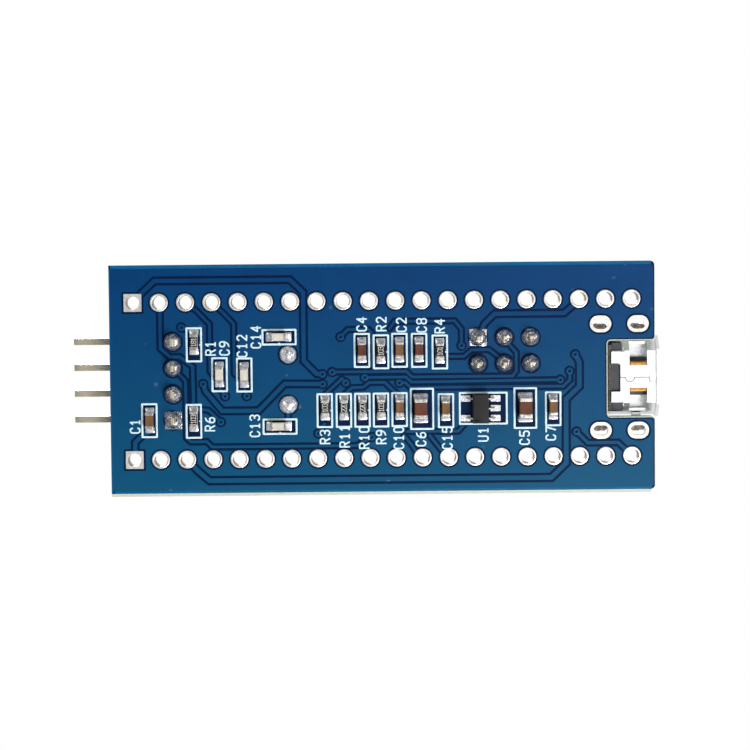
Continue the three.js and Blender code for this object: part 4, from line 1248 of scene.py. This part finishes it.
# USB socket
def buildSocket():
    bottom = span("usb_shell")[0].z + 0.2
    reach = (bottom - 1.5, bottom + 0.6)
    line = [(22.9, 0.07), (23.6, 0.07), (23.68, 0.34), (23.9, 0.5), (24.2, 0.5), (24.42, 0.34), (24.5, 0.07),
            (25.92, 0.07), (25.98, 0.5), (26.55, 0.5), (26.62, 0.07), (27.2, 0.07)]
    # The folded plate stops short of the moulding's rear, which shows in three cut-outs.
    cutters = [prisms("seam", [ribbon(line, 0.06)], *reach)]
    for x, near, far in ((22.24, -3.2, 3.2), (23.12, -1.23, 1.46), (23.5, -3.4, -2.42), (23.5, 2.63, 3.5)):
        cutters.append(boxes("cut", [((21.6, near, reach[0]), (x, far, reach[1]))]))
    polished("usb_shell", "usb_shell_folded", "socketSteel", 0.05, 2, cutters=cutters)
    polished("usb_insulator", "usb_insulator_moulded", "insulator", 0.03)
    for i in range(5):
        node = f"usb_contact_{i + 1}"
        polished(node, f"{node}_plated", "contactGold", 0.02, 1)
    # Solder creeps up the inner side of each leg in its slot, in a dark brown that is partly painted shade
    # from the slot's recess.
    legs = newShape()
    for x, y in slotPlaces:
        side = math.copysign(1, y)
        for step in range(6):
            wide = 0.25 + 0.14 * noise.noise(Vector((x * 3, y, step * 0.8)))
            outline = circle(x - 0.42 + step * 0.17, y - side * 0.24, wide, 10)
            addPrism(legs, outline, 0.04 + 0.05 * (step % 2), 0.6)
    settle(bevelled(toObject(legs, "socket_leg_solder", "legSolder"), 0.06, 2))
    # Two latch springs bent inward from the shell's underside, seen at the windows' inner edges.
    sides = [sorted((side * 1.08, side * 1.08 + side * 0.34)) for side in (-1, 1)]
    corners = [((24.08, near, bottom + 0.32), (25.66, far, bottom + 0.5)) for near, far in sides]
    settle(bevelled(boxes("usb_latch_springs", corners, "contactGold"), 0.05))
    # The moulding's foot, which holds the contacts down where they leave the shell.
    corners = [((21.95, -1.3, 1.15), (22.5, 1.3, top - 0.02))]
    corners += [((22.35, near, 1.0), (23.3, near + 0.8, 1.3)) for near in (-3.3, 2.5)]
    settle(bevelled(boxes("usb_insulator_foot", corners, "insulator"), 0.05))
    # A dark ragged strip along the moulding's rear edge, uneven where the contacts leave it, is painted
    # shade:
    # it stands in for the shadow over the moulding's rear and the contacts' tails.
    corners = []
    for step in range(32):
        near = -3.1 + step * 0.2
        out = 21.98 + 0.05 * noise.noise(Vector((near * 5, 2.0, 1.0)))
        corners.append(((out, near, 0.9 + 0.03 * (step % 3)), (22.34, near + 0.21, 1.3)))
    settle(bevelled(boxes("usb_rear_shade_strip", corners, "paintedShadeStrip"), 0.03))


buildHeaders()
buildButton()
buildCrystals()
buildPackages()
buildSocket()
print("parts made")

# Component side of the board
upperTracks = [
    (0.3, [(-19.05, 7.62), (-17.4, 6.2), (-10.0, 6.2), (-7.4, 3.9), (-4.4, 3.9)]),
    (0.3, [(-16.51, -7.62), (-15.0, -6.2), (-7.0, -6.2), (-4.6, -3.9)]),
    (0.25, [(-11.43, 7.62), (-9.6, 5.9), (-6.4, 5.9), (-3.6, 3.2)]),
    (0.25, [(-8.89, -7.62), (-7.4, -6.9), (-4.9, -5.2), (-3.1, -3.2)]),
    (0.25, [(-3.81, -7.62), (-3.81, -6.6), (-1.5, -4.6)]),
    (0.25, [(1.27, -7.62), (1.27, -6.4), (0.6, -5.2)]),
    (0.25, [(3.81, -7.62), (3.81, -6.4), (2.5, -4.7)]),
    (0.25, [(1.27, 7.62), (1.27, 6.4), (0.6, 5.2)]),
    (0.25, [(3.81, 7.62), (3.3, 6.6), (2.4, 4.8)]),
    (0.3, [(5.2, 1.2), (7.4, 3.4), (7.4, 5.4), (8.89, 7.62)]),
    (0.25, [(5.6, -0.4), (7.3, -0.4), (8.1, -1.43), (9.27, -1.43)]),
    (0.3, [(16.51, -7.62), (17.9, -6.2), (17.9, -1.2), (19.4, 0.35), (21.0, 0.35)]),
    (0.3, [(16.51, 7.62), (17.9, 6.2), (17.9, 2.6), (19.4, 1.0), (21.0, 0.75)]),
]
upperVias = [(-4.4, 3.9), (-4.6, -3.9), (19.4, 0.35), (7.4, 5.4), (14.9, 5.4), (16.2, -4.9), (-6.4, 5.9)]
upperFrames = {
    "R7": (-17.9, 5.3, 3.2, 1.6), "R8": (-17.9, -5.3, 3.2, 1.6), "R5": (5.5, -5.1, 3.2, 1.6),
    "C3": (-4.5, 5.2, 3.2, 1.6), "C11": (5.7, 5.2, 3.2, 1.6),
}
ledFrames = [(-17.9, -3.3, 1.5, 2.9), (-17.9, 3.3, 1.5, 2.9)]
upperLabels = {
    "R7": (-15.2, 5.35), "R8": (-15.2, -5.35), "R5": (3.0, -5.3), "C3": (-1.7, 5.4), "C11": (8.8, 5.95),
    "U2": (2.9, 5.4),
}
upperPrint = {"rise": 0.06, "line": 0.18, "capHeight": 0.9, "advance": 0.78, "stroke": 0.16}


def printComponentSide():
    z = top + upperPrint["rise"]
    frames = [framed(*size, z) for size in [*upperFrames.values(), *ledFrames, (-14.35, 0, 4.6, 8.6)]]
    # The crystal's rounded frame, the two headers' and the button's, and a dot at the first lead.
    ends = circle(-9.15, -0.05 - 3.2, 2.6, 24)[12:] + circle(-9.15, -0.05 + 3.2, 2.6, 24)[:13]
    frames.append([(*p, z) for p in ends + ends[:1]])
    frames.append(framed(11.8, -2.7, 8.3, 5.7, z))
    frames.append(framed(11.8, 3.1, 8.4, 4.2, z))
    dot = circle(0.6 - 5.6, 1.1, 0.28, 12)
    frames.append([(*p, z) for p in dot + dot[:1]])
    printed("upper_frames", frames, upperPrint["line"])
    labels = list(upperLabels.items())
    # Every fifth hole of a row has its number beside it.
    for i, (x, y) in enumerate(rowPlaces):
        if i % 20 in (0, 4, 9, 14, 19):
            labels.append((str(i % 20 + 1), (x, y + math.copysign(1.9, y))))
    strokes = []
    for text, place in labels:
        strokes += lettered(text, place, upperPrint["capHeight"], upperPrint["advance"], (1, 0), (0, 1), z)
    printed("upper_numbers", strokes, upperPrint["stroke"])


coppered("component", upperTracks, upperVias, list(upperFrames.values()) + ledFrames)
printComponentSide()
print("component side made")

# Floor, lights and camera
studio = {
    "floorSize": 0.9, "lens": 99.26, "distance": 200.36 * mm, "lean": 2.8, "sideways": 0.117, "roll": -0.545,
    "aim": (0.93 * mm, -0.42 * mm, boardLow.z),
}
lights = {  # its place, the width of its disc and its power
    "lowerKey": ((0.10, 0.15, -0.20), 0.14, 0.68), "lowerCard": ((0.13, 0.10, -0.28), 0.30, 0.42),
    "lowerFill": ((-0.18, -0.14, -0.14), 0.14, 0.22), "lowerSide": ((0.2, -0.02, -0.05), 0.1, 0.1),
    "upperKey": ((-0.12, -0.2, 0.3), 0.2, 3.0),
}


# A pale floor that only shows from above, so that the camera sees the board through it from below.
def buildFloor():
    half = studio["floorSize"] / 2
    mesh = bpy.data.meshes.new("floor")
    corners = [(x, y, 0) for x, y in rectangle(0, 0, 2 * half, 2 * half)]
    mesh.from_pydata(corners, [], [(0, 1, 2, 3)])
    floor = linked("floor", mesh)
    material = bpy.data.materials.new("paleFloor")
    material.use_nodes = True
    tree = material.node_tree
    shader = tree.nodes["Principled BSDF"]
    feed(tree, shader, {"Base Color": linear(236, 236, 236), "Roughness": 0.8})
    side = put(tree, "ShaderNodeNewGeometry").outputs["Backfacing"]
    clear = made(tree, "ShaderNodeBsdfTransparent")
    either = made(tree, "ShaderNodeMixShader", {0: side, 1: shader.outputs[0], 2: clear})
    feed(tree, tree.nodes["Material Output"], {"Surface": either})
    mesh.materials.append(material)
    floor.visible_shadow = False
    floor.visible_diffuse = False
    floor.visible_glossy = False


# Soft round lights that point at the board, in a world that is white above and dark below.
def buildLights():
    world = bpy.data.worlds.new("studioWorld")
    bpy.context.scene.world = world
    world.use_nodes = True
    tree = world.node_tree
    where = put(tree, "ShaderNodeTexCoord").outputs["Generated"]
    upward = ramp(tree, put(tree, "ShaderNodeSeparateXYZ", {0: where}).outputs[2], -0.35, 0.0)
    shade = blended(tree, upward, (0.05, 0.05, 0.05, 1), (1, 1, 1, 1))
    feed(tree, tree.nodes["Background"], {"Color": shade})
    for name, (place, size, power) in lights.items():
        data = bpy.data.lights.new(name, "AREA")
        data.shape = "DISK"
        data.size = size
        data.energy = power
        light = linked(name, data)
        light.location = place
        light.rotation_euler = (-Vector(place)).to_track_quat("-Z", "Y").to_euler()
        light.visible_camera = False


def buildCamera():
    data = bpy.data.cameras.new("camera")
    data.lens = studio["lens"]
    data.clip_start = 0.005
    data.clip_end = 5
    camera = linked("camera", data)
    lean, sideways, roll = (math.radians(studio[turn]) for turn in ("lean", "sideways", "roll"))
    forward = Vector((math.sin(sideways), math.sin(lean), math.cos(lean))).normalized()
    right = Vector((math.cos(roll), -math.sin(roll), 0))
    right = (right - forward * right.dot(forward)).normalized()
    spin = Matrix((right, right.cross(forward), -forward)).transposed()
    place = Vector(studio["aim"]) - forward * studio["distance"]
    camera.matrix_world = Matrix.Translation(place) @ spin.to_4x4()
    bpy.context.scene.camera = camera


buildFloor()
buildLights()
buildCamera()
bpy.context.scene.view_settings.view_transform = "Standard"
print("studio made")
